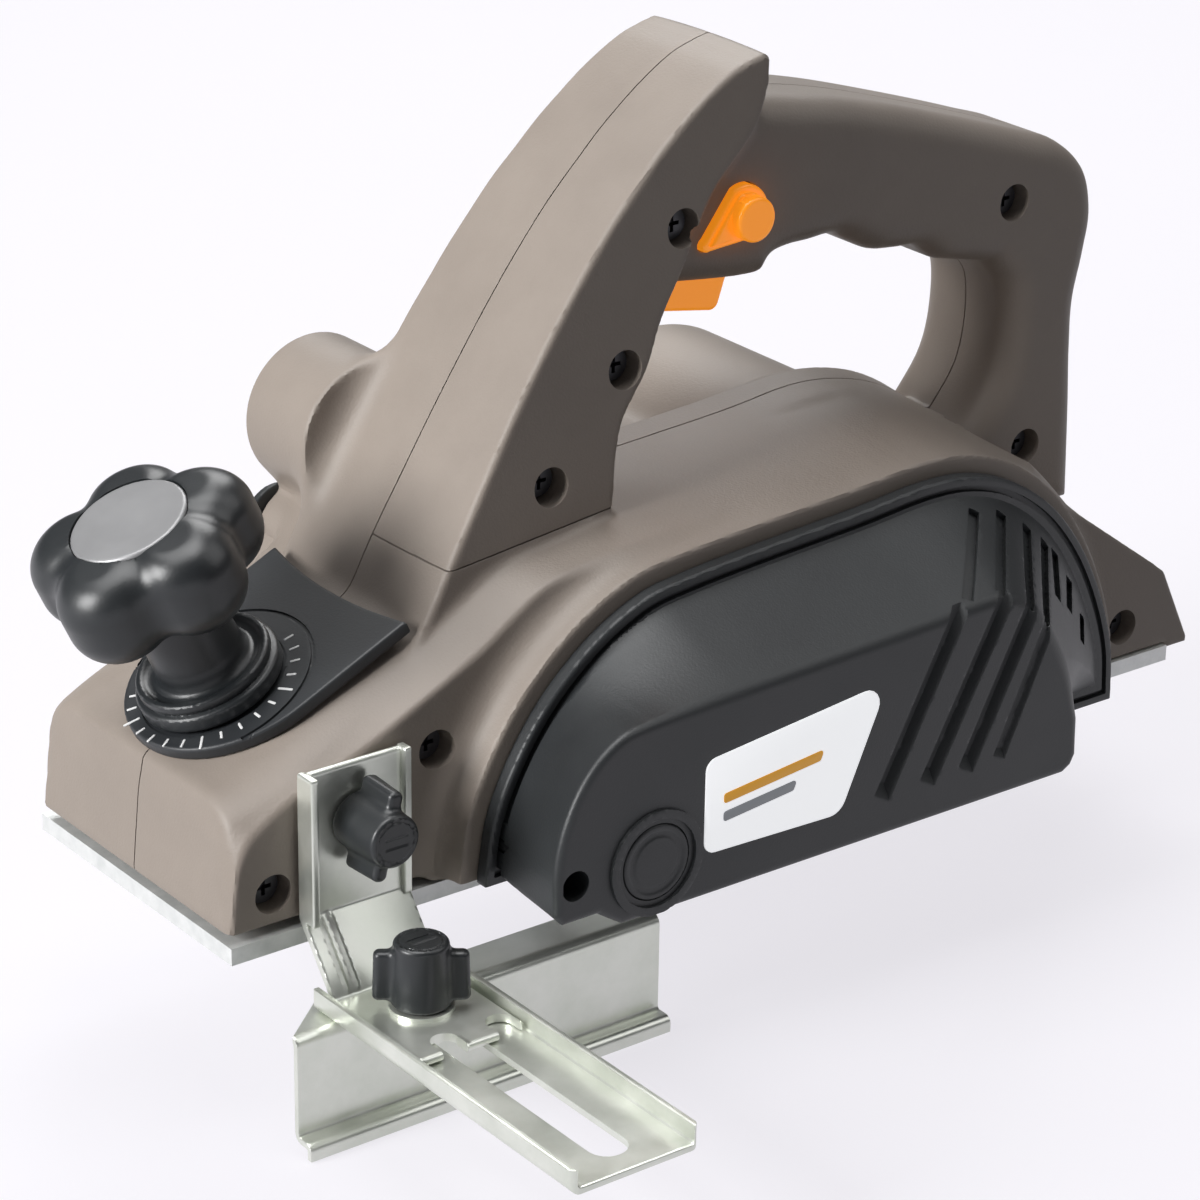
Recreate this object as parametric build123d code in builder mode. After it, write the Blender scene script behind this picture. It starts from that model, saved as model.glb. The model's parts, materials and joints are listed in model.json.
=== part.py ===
"""Electric hand planer, modelled piece by piece in millimetres.

Frame: X points the way the tool is pushed, Y points to the belt side, Z is up.
The origin is the centre of the sole, on the face that rides on the wood.
"""
import os
from math import cos, hypot, radians, sin

from build123d import *

os.makedirs("parts", exist_ok=True)

# ---- driving dimensions ----------------------------------------------------
sole_length = 290.0
sole_width = 84.0
shoe_thickness = 4.2
planing_depth = 2.0

wall = 2.8
body_half_width = 41.0
nose_chamfer = 9.0
boss_face = 50.0
cover_face = 80.0

drum_x, drum_z = 56.0, 24.0
cutting_radius = 24.0
drum_radius = 22.6
drum_half_length = 40.5
drum_shaft_radius = 4.0

motor_x, motor_z = -49.0, 47.6
barrel_radius = 36.0
barrel_end = -62.0
motor_shaft_radius = 4.0

bearing_radius = 9.5
bearing_width = 6.0
running_gap = 0.03

drum_pulley_radius = 16.0
motor_pulley_radius = 8.0
belt_thickness = 2.4
belt_width = 12.0
pulley_width = 14.0
pulley_y = 55.0

dial_x, dial_z = 122.2, 48.1
dial_tilt = 25.0
dial_thickness = 3.5
dial_radius = 27.5

outlet_x, outlet_z = 60.0, 86.0
outlet_radius = 19.0
outlet_end = -53.0

grip_half_width = 18.5
fence_x = -32.0 + 145.0
fence_plate_top = -8.0
fence_sheet = 2.0
arm_half_width = 17.0
arm_end = 149.0
rail_y = 60.6
rail_front, rail_rear = 140.0, 38.0
rail_bottom = -38.0

half_sole = sole_length / 2
half_width = sole_width / 2


# ---- planes and small helpers ----------------------------------------------
def side_plane(y):
    """The XZ plane at height y, whose extrusions run towards -Y."""
    return Plane.XZ.offset(-y)


def cross_plane(x):
    """The YZ plane at x, whose extrusions run towards +X."""
    return Plane.YZ.offset(x)


tilt = radians(dial_tilt)
knob_up = (sin(tilt), 0, cos(tilt))
knob_plane = Plane(origin=(dial_x, 0, dial_z), x_dir=(cos(tilt), 0, -sin(tilt)), z_dir=knob_up)


def save(builder, name):
    """Label a finished piece and write its STEP file."""
    builder.part.label = name
    export_step(builder.part, f"parts/{name}.step")


def rod_y(x, z, radius, y_low, y_high, mode=Mode.ADD):
    """Cylinder along Y inside the running part."""
    with BuildSketch(side_plane(y_high)) as disc:
        with Locations((x, z)):
            Circle(radius)
    extrude(disc.sketch, amount=y_high - y_low, mode=mode)


def tube_y(x, z, outer, inner, y_low, y_high):
    """Hollow cylinder along Y inside the running part."""
    with BuildSketch(side_plane(y_high)) as ring:
        with Locations((x, z)):
            Circle(outer)
            Circle(inner, mode=Mode.SUBTRACT)
    extrude(ring.sketch, amount=y_high - y_low)


def block(x_low, x_high, y_low, y_high, z_low, z_high, mode=Mode.ADD):
    """Rectangular block between two corners inside the running part."""
    with BuildSketch(Plane.XY.offset(z_low)) as base:
        with Locations(((x_low + x_high) / 2, (y_low + y_high) / 2)):
            Rectangle(x_high - x_low, y_high - y_low)
    extrude(base.sketch, amount=z_high - z_low, mode=mode)


def shifted(points, amount):
    """Points of a line moved square to it, to the right of its travel."""
    moved = []
    for index, (x, z) in enumerate(points):
        before = points[max(index - 1, 0)]
        after = points[min(index + 1, len(points) - 1)]
        length = hypot(after[0] - before[0], after[1] - before[1])
        step = amount / length
        moved.append((x + step * (after[1] - before[1]), z - step * (after[0] - before[0])))
    return moved


# ---- housing forms -----------------------------------------------------------
body_floor_front = shoe_thickness + planing_depth + 0.4
body_floor_rear = shoe_thickness + 0.3


def low_body(inset):
    """Nose, middle and tail of the lower body, as one closed form."""
    floor_front = body_floor_front - 3 * inset
    floor_rear = body_floor_rear - 3 * inset
    with BuildPart() as form:
        with BuildSketch(side_plane(body_half_width - inset)):
            with BuildLine():
                nose_top = (140.6 - inset, 35.6 - inset)
                front = Line((143.9 - inset, floor_front), (143.2 - inset, 24))
                Line(front @ 1, nose_top)
                shoulder = (88 - inset, 60.1 - inset)
                Line(nose_top, shoulder)
                tail_tip = [(-153.5, 2.5), (-145.6, 2.5), (-145.6, floor_rear)] if inset == 0 else [
                    (-146, floor_rear)]
                Polyline(
                    shoulder,
                    (70, 66 - inset),
                    (-92, 66 - inset),
                    (-108 + inset / 2, 51.5 - inset),
                    (-140 + inset, 29 - inset),
                    *tail_tip,
                    (64, floor_rear),
                    (64, floor_front),
                    front @ 0,
                )
            make_face()
        extrude(amount=2 * (body_half_width - inset))
        nose_sides = form.edges().filter_by(
            lambda edge: abs(edge.center().Y) > body_half_width - inset - 0.1
            and edge.center().X > 100 and 36 < edge.center().Z < 60
        )
        chamfer(nose_sides, nose_chamfer)
    return form.part


rim_points = [
    (84.1, 4.5), (81.9, 21.5), (77.2, 32.8), (68.8, 45.7), (59, 55.6), (49.1, 62.6), (37.7, 67.7),
    (2.2, 71.7), (-47.4, 75.6), (-60.3, 74.8), (-73.7, 71), (-87.8, 61.1), (-99.1, 47.7),
    (-107.3, 32.1), (-112.1, 17), (-113.2, 4.5),
]


def boss_form(inset):
    """Raised boss behind the belt cover."""
    with BuildPart() as form:
        with BuildSketch(side_plane(boss_face - (0 if inset == 0 else 2.6))):
            with BuildLine():
                Polyline(*rim_points, close=True)
            make_face()
            offset(amount=4 - inset)
        extrude(amount=boss_face + 2)
        block(-200, 200, -3, 60, -20, body_floor_rear - 3 * inset, mode=Mode.SUBTRACT)
        block(64, 200, -3, 60, -20, body_floor_front - 3 * inset, mode=Mode.SUBTRACT)
    return form.part


def barrel_form(inset):
    """Motor barrel, lying across the tool."""
    with BuildPart() as form:
        rod_y(motor_x, motor_z, barrel_radius - inset, barrel_end + inset, 12)
        if inset == 0:
            fillet(form.faces().sort_by(Axis.Y)[0].edges(), 6)
    return form.part


def drum_bulge(inset):
    """Bulge on the right side that clears the drum's bearing."""
    with BuildPart() as form:
        with BuildSketch(side_plane(0)):
            with BuildLine():
                arch = ThreePointArc((88 - inset, 36), (52, 70 - inset), (16 + inset, 36))
                foot = body_floor_rear - 3 * inset
                Polyline(arch @ 1, (16 + inset, foot), (64, foot))
                Polyline((64, foot), (64, body_floor_front - 3 * inset),
                         (88 - inset, body_floor_front - 3 * inset), arch @ 0)
            make_face()
        extrude(amount=50.6 - inset)
    return form.part


def outlet_form(radius, inner_end, outer_end):
    """Chip outlet tube on the right side."""
    with BuildPart() as form:
        rod_y(outlet_x, outlet_z, radius, outer_end, inner_end)
    return form.part


slab_front = [(88, 58), (77.8, 74.8), (59.6, 103.7), (38.8, 133.4), (18.8, 155.8), (-2, 173), (-21, 181.6)]
slab_rear = [(-24, 166), (-3, 148), (13, 120), (25, 98), (30, 76), (31, 58)]


def slab_form(inset):
    """Swept upright that joins the nose to the grip."""
    with BuildPart() as form:
        with BuildSketch(side_plane(32)):
            with BuildLine():
                front = Spline(*shifted(slab_front, -inset))
                rear = Spline(*shifted(slab_rear, -inset))
                Line(front @ 1, rear @ 0)
                Line(rear @ 1, front @ 0)
            make_face()
        extrude(amount=64)
        with BuildSketch(cross_plane(-60)):
            with BuildLine():
                foot, crown = 30 - inset, 21 - inset
                Polyline((-foot, 50), (foot, 50), (crown, 190), (-crown, 190), close=True)
            make_face()
        extrude(amount=200, mode=Mode.INTERSECT)
    return form.part


grip_back = [(-5, 166), (-37, 163.5), (-79.6, 153), (-118, 139.5), (-131, 128), (-134, 112), (-130.5, 92),
             (-130, 66), (-132, 30)]
post_front = [(-94, 30), (-92, 60), (-102, 78), (-104, 100), (-97, 110)]
grip_under = [(-82, 116), (-68, 121.5), (-58, 123.5), (-47, 128), (-30, 128), (-24, 122.5), (14, 127)]


def grip_form(inset):
    """Grip and rear post, one bent bar seen from the side."""
    with BuildPart() as form:
        with BuildSketch(side_plane(grip_half_width - inset)):
            with BuildLine():
                back = Spline(*shifted(grip_back, -inset))
                front = Spline(*shifted(post_front, -inset))
                under = Polyline(front @ 1, *shifted(grip_under, -inset))
                Line(back @ 1, front @ 0)
                Line(under @ 1, back @ 0)
            make_face()
        extrude(amount=2 * (grip_half_width - inset))
        if inset == 0:
            rounded = form.faces().filter_by(Axis.Y).edges()
            chamfer(rounded, 5)
    return form.part


screw_points = {
    "nose": (133.0, 14.0, 41.0), "middle": (88.5, 37.6, 41.0), "tail": (-129.0, 13.0, 41.0),
    "upright_low": (47.0, 88.0, 27.4), "upright_mid": (24.5, 111.5, 25.8), "upright_top": (6.5, 142.0, 23.8),
    "grip": (-103.5, 127.0, 18.5), "post": (-112.0, 60.0, 18.5),
}
screw_head_radius, screw_shank_radius, screw_recess = 3.9, 1.9, 4.8
head_depth = 7.0
screw_reach = -12.0
cover_screw = (78.0, 15.8)


def add_bosses(points, y_low, y_high):
    """Solid screw bosses between two Y values, trimmed to the outer form later."""
    for x, z, _ in points:
        rod_y(x, z, screw_recess + 1.6, y_low, y_high)


def cut_screw_holes(points):
    """Recess, clearance hole and pilot hole for each housing screw."""
    for x, z, face in points:
        rod_y(x, z, screw_recess, face - head_depth, 60, mode=Mode.SUBTRACT)
        rod_y(x, z, screw_shank_radius + 0.05, screw_reach - 1, 60, mode=Mode.SUBTRACT)


lug_x, lug_z, lug_radius = 71.0, 59.8, 6.0


def outlet_neck():
    """Solid neck under the outlet, which the chip passage runs through."""
    with BuildPart() as form:
        block(45, 73, -body_half_width, 0, 58, outlet_z)
    return form.part


outer_low = [outlet_neck(), low_body(0), boss_form(0), barrel_form(0), drum_bulge(0),
             outlet_form(outlet_radius, 0, outlet_end)]
inner_low = [low_body(wall), boss_form(wall), barrel_form(wall), drum_bulge(wall),
             outlet_form(outlet_radius - wall, -20, outlet_end - 1)]
outer_high = [slab_form(0), grip_form(0)]
inner_high = [slab_form(wall), grip_form(wall)]

with BuildPart() as outer_body:
    for piece in outer_low + outer_high:
        add(piece)

with BuildPart() as cavity:
    for piece in inner_low + inner_high:
        add(piece)

all_screws = list(screw_points.values())


def joint_region():
    """Everything above the joint between the lower shell and the handle shell."""
    with BuildPart() as region:
        with BuildSketch(side_plane(60)):
            with BuildLine():
                Polyline((160, 74), (28, 80), (-66, 80), (-84, 68), (-92, 68), (-109, 53.5), (-142, 30.5),
                         (-142, 220), (160, 220), close=True)
            make_face()
        extrude(amount=60)
    return region.part


upper_region = joint_region()

with BuildPart() as upper_block:
    for piece in outer_high:
        add(piece)
    add(upper_region, mode=Mode.INTERSECT)

with BuildPart() as bosses:
    add_bosses([point for point in all_screws if point != screw_points["upright_low"]], barrel_end, boss_face)
    add_bosses([screw_points["upright_low"]], screw_reach - 3, boss_face)
    block(47, 70, screw_reach - 3, -1, 86, 90)
    rod_y(fence_x, 29, 8, 28, body_half_width + 1.2)
    add(outer_body.part, mode=Mode.INTERSECT)

knob_hole = Cylinder(6, 60, mode=Mode.PRIVATE).moved(Location(knob_plane))


def teardrop(plane, grow):
    """Outline of the lock button's base."""
    with BuildSketch(plane) as outline:
        with Locations((-15, 140.5)):
            Circle(7.2 + grow)
        with Locations((-4, 134.5)):
            Circle(1.5 + grow)
        make_hull()
    return outline.sketch


gland_z = 112.0
gland_radius = 7.0


def openings_cut():
    """Holes through the shells: screws, knob, trigger slot, cord inlet and chip passage."""
    cut_screw_holes(all_screws)
    add(knob_hole, mode=Mode.SUBTRACT)
    block(-24, 3.5, -7.6, 7.6, 108, 131, mode=Mode.SUBTRACT)
    rod_y(drum_x, drum_z, 9.6, -60, 60, mode=Mode.SUBTRACT)
    rod_y(*cover_screw, screw_shank_radius + 0.05, 40, 60, mode=Mode.SUBTRACT)
    rod_y(motor_x, motor_z, bearing_radius + 0.1, 38, 60, mode=Mode.SUBTRACT)
    rod_y(outlet_x, outlet_z, outlet_radius - wall, outlet_end - 1, -21, mode=Mode.SUBTRACT)
    block(48, 70, -38, -22, 45, 84, mode=Mode.SUBTRACT)
    with BuildSketch(cross_plane(-142)) as inlet:
        with Locations((0, gland_z)):
            Circle(gland_radius)
    extrude(inlet.sketch, amount=16, mode=Mode.SUBTRACT)


# ---- housing shells ----------------------------------------------------------
with BuildPart() as right_housing:
    add(outer_body.part)
    add(cavity.part, mode=Mode.SUBTRACT)
    add(bosses.part)
    tube_y(motor_x, motor_z, bearing_radius + 3, bearing_radius, barrel_end + 2, barrel_end + 9)
    rod_y(lug_x, lug_z, lug_radius, -50.6, -40)
    openings_cut()
    split(bisect_by=Plane.XZ, keep=Keep.TOP)
save(right_housing, "right_housing")

with BuildPart() as left_housing:
    add(outer_body.part)
    add(upper_block.part, mode=Mode.SUBTRACT)
    add(cavity.part, mode=Mode.SUBTRACT)
    add(bosses.part)
    add(upper_block.part, mode=Mode.SUBTRACT)
    tube_y(motor_x, motor_z, bearing_radius + 3, bearing_radius, 40, boss_face - 1)
    tube_y(fence_x, 29, 8, 5, 28, body_half_width + 1.2)
    rod_y(fence_x, 29, 5, 20, 50, mode=Mode.SUBTRACT)
    openings_cut()
    split(bisect_by=Plane.XZ, keep=Keep.BOTTOM)
save(left_housing, "left_housing")

with BuildPart() as left_handle_shell:
    add(upper_block.part)
    add(cavity.part, mode=Mode.SUBTRACT)
    add(bosses.part)
    add(upper_block.part, mode=Mode.INTERSECT)
    openings_cut()
    extrude(teardrop(side_plane(30), 0.3), amount=18, mode=Mode.SUBTRACT)
save(left_handle_shell, "left_handle_shell")

with BuildPart() as housing_screws:
    for x, z, face in all_screws:
        rod_y(x, z, screw_head_radius, face - head_depth, face - head_depth + 2.6)
        rod_y(x, z, screw_shank_radius, screw_reach, face - head_depth)
        with BuildSketch(side_plane(face - head_depth + 2.6)) as slot:
            with Locations((x, z)):
                Rectangle(4.2, 1)
                Rectangle(1, 4.2)
        extrude(slot.sketch, amount=1.6, mode=Mode.SUBTRACT)
save(housing_screws, "housing_screws")

# ---- belt cover --------------------------------------------------------------
cover_floor = 1.6
cover_rim = [
    (62, cover_floor), (72, 6.2), (84.1, 6.2), (81.9, 21.5), (77.2, 32.8), (68.8, 45.7), (59, 55.6),
    (49.1, 62.6), (37.7, 67.7), (2.2, 71.7), (-47.4, 75.6), (-60.3, 74.8), (-73.7, 71), (-87.8, 61.1),
    (-99.1, 47.7), (-107.3, 32.1), (-112.1, 17), (-113.2, cover_floor),
]
cover_front = [
    (62, cover_floor), (72, 6.2), (82.1, 6.2), (83.0, 19), (81.5, 28.6), (77, 39.6), (71.5, 45.5),
    (63.2, 49.3), (50, 50.4), (14, 52), (-30, 53.9), (-47.5, 54.6), (-56, 51.5), (-61, 48.2),
    (-66.6, 39.4), (-72.6, 27.2), (-76.6, 15.4), (-76.6, cover_floor),
]
cover_wall = 2.2
cap_x, cap_z, cap_radius = 55.0, 15.2, 12.5


def cover_section(points, y, inset):
    """One outline of the cover at height y."""
    with BuildSketch(side_plane(y)) as section:
        with BuildLine():
            Polyline(*points, close=True)
        make_face()
        if inset > 0:
            offset(amount=-inset, kind=Kind.INTERSECTION)
    return section.sketch


with BuildPart() as belt_cover:
    loft([cover_section(cover_rim, boss_face, 0), cover_section(cover_front, cover_face, 0)])
    loft([cover_section(cover_rim, boss_face, cover_wall),
          cover_section(cover_front, cover_face - cover_wall, cover_wall)], mode=Mode.SUBTRACT)
    rod_y(*cover_screw, 4.6, boss_face, cover_face - 1)
    rod_y(*cover_screw, 3.9, cover_face - 12, cover_face + 1, mode=Mode.SUBTRACT)
    rod_y(*cover_screw, 2.1, boss_face - 1, cover_face, mode=Mode.SUBTRACT)
    rod_y(cap_x, cap_z, cap_radius - 3, cover_face - 5, cover_face + 1, mode=Mode.SUBTRACT)
save(belt_cover, "belt_cover")

with BuildPart() as cover_screw_piece:
    rod_y(*cover_screw, 3.6, cover_face - 12, cover_face - 9)
    rod_y(*cover_screw, screw_shank_radius, boss_face - 2.4, cover_face - 12)
save(cover_screw_piece, "cover_screw")

with BuildPart() as cover_cap:
    rod_y(cap_x, cap_z, cap_radius - 3.1, cover_face - cover_wall, cover_face)
    rod_y(cap_x, cap_z, cap_radius, cover_face, cover_face + 0.8)
    rod_y(cap_x, cap_z, cap_radius - 2, cover_face + 0.2, cover_face + 1, mode=Mode.SUBTRACT)
save(cover_cap, "cover_cap")

with BuildPart() as cover_badge:
    with BuildSketch(side_plane(cover_face + 0.6)) as badge:
        with BuildLine():
            Polyline((-12, 42), (41, 35), (41, 12.5), (3, 14.5), close=True)
        make_face()
        fillet(badge.vertices(), 3)
    extrude(amount=0.6)
save(cover_badge, "cover_badge")

side_cover_y, side_cover_thickness = -50.8, 3.4
with BuildPart() as side_cover:
    with BuildSketch(side_plane(side_cover_y)):
        with BuildLine():
            arch = ThreePointArc((84, 36), (54, 66), (24, 36))
            Polyline(arch @ 1, (24, 8), (84, 8), arch @ 0)
        make_face()
    extrude(amount=side_cover_thickness)
    chamfer(side_cover.faces().sort_by(Axis.Y)[0].edges(), 1.2)
    with BuildSketch(side_plane(side_cover_y)):
        with Locations((lug_x, lug_z)):
            Circle(lug_radius + 2.8)
    extrude(amount=side_cover_thickness - 1.2)
save(side_cover, "side_cover")

# ---- base and front shoe -----------------------------------------------------
web_inner, web_outer = drum_half_length + 0.5, drum_half_length + 0.5 + bearing_width


with BuildPart() as rear_shoe:
    with BuildSketch(side_plane(half_width)):
        with BuildLine():
            Polyline((-half_sole, 0), (47, 0), (41, shoe_thickness), (-half_sole, shoe_thickness), close=True)
        make_face()
    extrude(amount=sole_width)
    for side in (1, -1):
        with BuildSketch(side_plane(web_outer if side > 0 else -web_inner)) as web:
            with BuildLine():
                Polyline((20, 1.5), (44, 1.5), (46, 10), (64, 10), (74, 20), (74, 33), (66, 43), (30, 43),
                         (20, 30), close=True)
            make_face()
            with Locations((drum_x, drum_z)):
                Circle(bearing_radius, mode=Mode.SUBTRACT)
        extrude(web.sketch, amount=bearing_width)
    for x in (-120, -20):
        for y in (-28, 28):
            with Locations((x, y, 0)):
                Cone(4.6, 2.2, 2.6, align=(Align.CENTER, Align.CENTER, Align.MIN), mode=Mode.SUBTRACT)
                Cylinder(2.2, 20, mode=Mode.SUBTRACT)
save(rear_shoe, "rear_shoe")

with BuildPart() as shoe_screws:
    for x in (-120, -20):
        for y in (-28, 28):
            with Locations((x, y, 0.2)):
                Cone(4.2, 2.05, 2.4, align=(Align.CENTER, Align.CENTER, Align.MIN))
                Cylinder(2.05, 16, align=(Align.CENTER, Align.CENTER, Align.MIN))
save(shoe_screws, "shoe_screws")


def along_knob(t, dx=0.0, dy=0.0):
    """Plane square to the knob's axis, t above the dial's face."""
    return Plane(
        origin=(dial_x + sin(tilt) * t + cos(tilt) * dx, dy, dial_z + cos(tilt) * t - sin(tilt) * dx),
        x_dir=(cos(tilt), 0, -sin(tilt)), z_dir=knob_up,
    )


def knob_rod(radius, low, high, mode=Mode.ADD, dx=0.0, dy=0.0):
    """Cylinder along the knob's axis inside the running part."""
    with BuildSketch(along_knob(low, dx, dy)) as disc:
        Circle(radius)
    extrude(disc.sketch, amount=high - low, mode=mode)


shoe_post_y = 18.0
with BuildPart() as front_shoe:
    knob_rod(8, -52, -35)
    for y in (-shoe_post_y, shoe_post_y):
        knob_rod(3.5, -52, -24, dy=y)
    block(60, 145, -half_width, half_width, -12, shoe_thickness - 0.4, mode=Mode.SUBTRACT)
    with BuildSketch(side_plane(half_width)):
        with BuildLine():
            Polyline((66.5, 0), (half_sole, 0), (half_sole, shoe_thickness), (71.5, shoe_thickness),
                     close=True)
        make_face()
    extrude(amount=sole_width)
    knob_rod(3.05, -47, -30, mode=Mode.SUBTRACT)
save(front_shoe, "front_shoe")

with BuildPart() as shoe_springs:
    for y in (-shoe_post_y, shoe_post_y):
        knob_rod(5.6, -45, -22.5, dy=y)
        knob_rod(3.8, -45, -22.5, mode=Mode.SUBTRACT, dy=y)
save(shoe_springs, "shoe_springs")

# ---- depth dial and knob -----------------------------------------------------
dial_arc_offset = -6.3
dial_rear = -(dial_x - 88) / cos(tilt)
with BuildPart() as depth_dial:
    with BuildSketch(along_knob(-dial_thickness)):
        with Locations((dial_arc_offset, 0)):
            Circle(dial_radius)
        with Locations(((dial_rear + dial_arc_offset) / 2, 0)):
            Rectangle(dial_arc_offset - dial_rear, 2 * dial_radius)
        Circle(8.2, mode=Mode.SUBTRACT)
    extrude(amount=dial_thickness)
save(depth_dial, "depth_dial")

knob_top = 49.4
knob_bottom = 27.0
knob_lobes = 5
lobe_turn = 24.0
with BuildPart() as depth_knob:
    with BuildSketch(along_knob(knob_bottom)) as head:
        Circle(18)
        with PolarLocations(16.6, knob_lobes, start_angle=lobe_turn):
            Circle(10.9)
    extrude(amount=knob_top - knob_bottom)
    knob_rod(10.8, 7, knob_bottom + 1)
    knob_rod(16.3, 4.4, 7.4)
    knob_rod(17.6, 0.4, 4.6)
    knob_rod(14.2, knob_top - 1.2, knob_top + 1, mode=Mode.SUBTRACT)
    knob_rod(3, 0, knob_bottom - 4, mode=Mode.SUBTRACT)
save(depth_knob, "depth_knob")

with BuildPart() as knob_disc:
    knob_rod(14.2, knob_top - 1.2, knob_top)
save(knob_disc, "knob_disc")

with BuildPart() as depth_spindle:
    knob_rod(3, -43, knob_bottom - 4)
save(depth_spindle, "depth_spindle")

# ---- cutter drum ---------------------------------------------------------------
blade_tip = 23.9
blade_thickness = 1.2
seat = -1.0
clamp_screw_u = 9.4


def drum_plane(y, turn):
    """Plane square to the drum's axis at y, turned about it."""
    along = (cos(radians(turn)), 0, sin(radians(turn)))
    return Plane(origin=(drum_x, y, drum_z), x_dir=along, z_dir=(0, -1, 0))


def seat_plane(y, turn, height):
    """Plane on a blade seat, facing away from the drum's axis, height above the seat."""
    turn = radians(turn)
    return Plane(
        origin=(drum_x + clamp_screw_u * cos(turn) - (seat + height) * sin(turn), y,
                drum_z + clamp_screw_u * sin(turn) + (seat + height) * cos(turn)),
        x_dir=(cos(turn), 0, sin(turn)), z_dir=(-sin(turn), 0, cos(turn)),
    )


def drum_profile(points, turn, y_low, y_high, mode=Mode.ADD):
    """Prism along the drum with the given outline, inside the running part."""
    with BuildSketch(drum_plane(y_high, turn)) as outline:
        with BuildLine():
            Polyline(*points, close=True)
        make_face()
    extrude(outline.sketch, amount=y_high - y_low, mode=mode)


def clamp_screw(y, turn, radius, low, high, mode=Mode.ADD):
    """Cylinder square to a blade seat, inside the running part."""
    with BuildSketch(seat_plane(y, turn, low)) as disc:
        Circle(radius)
    extrude(disc.sketch, amount=high - low, mode=mode)


blade_turns = (20, 200)
clamp_screw_ys = (-28, 0, 28)
gullet = [(6.8, seat), (27, seat), (27, 16), (12, 10.5), (6.8, 6.4)]
clamp_outline = [(7, seat), (11.8, seat), (11.8, seat + blade_thickness), (20.5, seat + blade_thickness),
                 (18, 4), (7, 4)]
blade_outline = [(11.9, seat), (blade_tip, seat), (blade_tip - 1.2, seat + blade_thickness),
                 (11.9, seat + blade_thickness)]

with BuildPart() as cutter_drum:
    rod_y(drum_x, drum_z, drum_radius, -drum_half_length, drum_half_length)
    rod_y(drum_x, drum_z, drum_shaft_radius, -60, 60, mode=Mode.SUBTRACT)
    for turn in blade_turns:
        drum_profile(gullet, turn, -60, 60, mode=Mode.SUBTRACT)
        for y in clamp_screw_ys:
            clamp_screw(y, turn, 1.8, -8, 1, mode=Mode.SUBTRACT)
save(cutter_drum, "cutter_drum")

with BuildPart() as planer_blades:
    for turn in blade_turns:
        drum_profile(blade_outline, turn, -drum_half_length, drum_half_length)
save(planer_blades, "planer_blades")

with BuildPart() as blade_clamps:
    for turn in blade_turns:
        drum_profile(clamp_outline, turn, -drum_half_length + 1, drum_half_length - 1)
        for y in clamp_screw_ys:
            clamp_screw(y, turn, 1.8, -2, 8, mode=Mode.SUBTRACT)
save(blade_clamps, "blade_clamps")

with BuildPart() as clamp_screws:
    for turn in blade_turns:
        for y in clamp_screw_ys:
            clamp_screw(y, turn, 1.8, -8, 5)
            clamp_screw(y, turn, 2.3, 5, 7.2)
save(clamp_screws, "clamp_screws")

with BuildPart() as drum_shaft:
    rod_y(drum_x, drum_z, drum_shaft_radius, -web_outer, pulley_y + pulley_width + 3)
save(drum_shaft, "drum_shaft")

with BuildPart() as drum_bearings:
    for y in (-web_outer, web_inner):
        tube_y(drum_x, drum_z, bearing_radius, drum_shaft_radius + running_gap, y, y + bearing_width)
save(drum_bearings, "drum_bearings")

chute_half_length = body_half_width - wall - 0.3
with BuildPart() as chip_chute:
    tube_y(drum_x, drum_z, cutting_radius + 4, cutting_radius + 2, -chute_half_length, chute_half_length)
    block(0, 120, -60, 60, -10, drum_z + 9, mode=Mode.SUBTRACT)
    block(48, 70, -38, -22, 40, 70, mode=Mode.SUBTRACT)
save(chip_chute, "chip_chute")

# ---- belt drive ------------------------------------------------------------------
with BuildPart() as drum_pulley:
    tube_y(drum_x, drum_z, drum_pulley_radius, drum_shaft_radius, pulley_y, pulley_y + pulley_width)
save(drum_pulley, "drum_pulley")

with BuildPart() as drum_pulley_nut:
    with BuildSketch(side_plane(pulley_y + pulley_width + 4)):
        with Locations((drum_x, drum_z)):
            RegularPolygon(7, 6)
            Circle(drum_shaft_radius, mode=Mode.SUBTRACT)
    extrude(amount=4)
save(drum_pulley_nut, "drum_pulley_nut")

with BuildPart() as motor_pulley:
    tube_y(motor_x, motor_z, motor_pulley_radius, motor_shaft_radius, pulley_y, pulley_y + pulley_width)
save(motor_pulley, "motor_pulley")


def belt_loop(extra):
    """Outline round both pulleys, a set distance off their rims."""
    with BuildSketch(side_plane(pulley_y + 1 + belt_width)) as loop:
        with Locations((drum_x, drum_z)):
            Circle(drum_pulley_radius + extra)
        with Locations((motor_x, motor_z)):
            Circle(motor_pulley_radius + extra)
        make_hull()
    return loop.sketch


belt_gap = 0.3
with BuildPart() as drive_belt:
    extrude(belt_loop(belt_gap + belt_thickness), amount=belt_width)
    extrude(belt_loop(belt_gap), amount=belt_width, mode=Mode.SUBTRACT)
save(drive_belt, "drive_belt")

# ---- motor -------------------------------------------------------------------------
stack_low, stack_high = -35.0, 10.0
stator_radius = barrel_radius - wall - 0.1
armature_radius = 18.8
fan_radius = 26.0
bearing_seats = (barrel_end + wall + 0.3, 40.5)
brush_y = -46.5

with BuildPart() as motor_shaft:
    rod_y(motor_x, motor_z, motor_shaft_radius, bearing_seats[0], pulley_y + pulley_width + 1)
save(motor_shaft, "motor_shaft")

with BuildPart() as motor_bearings:
    for y in bearing_seats:
        tube_y(motor_x, motor_z, bearing_radius, motor_shaft_radius + running_gap, y, y + bearing_width)
save(motor_bearings, "motor_bearings")

with BuildPart() as armature_core:
    tube_y(motor_x, motor_z, armature_radius, motor_shaft_radius, stack_low, stack_high)
save(armature_core, "armature_core")

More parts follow.
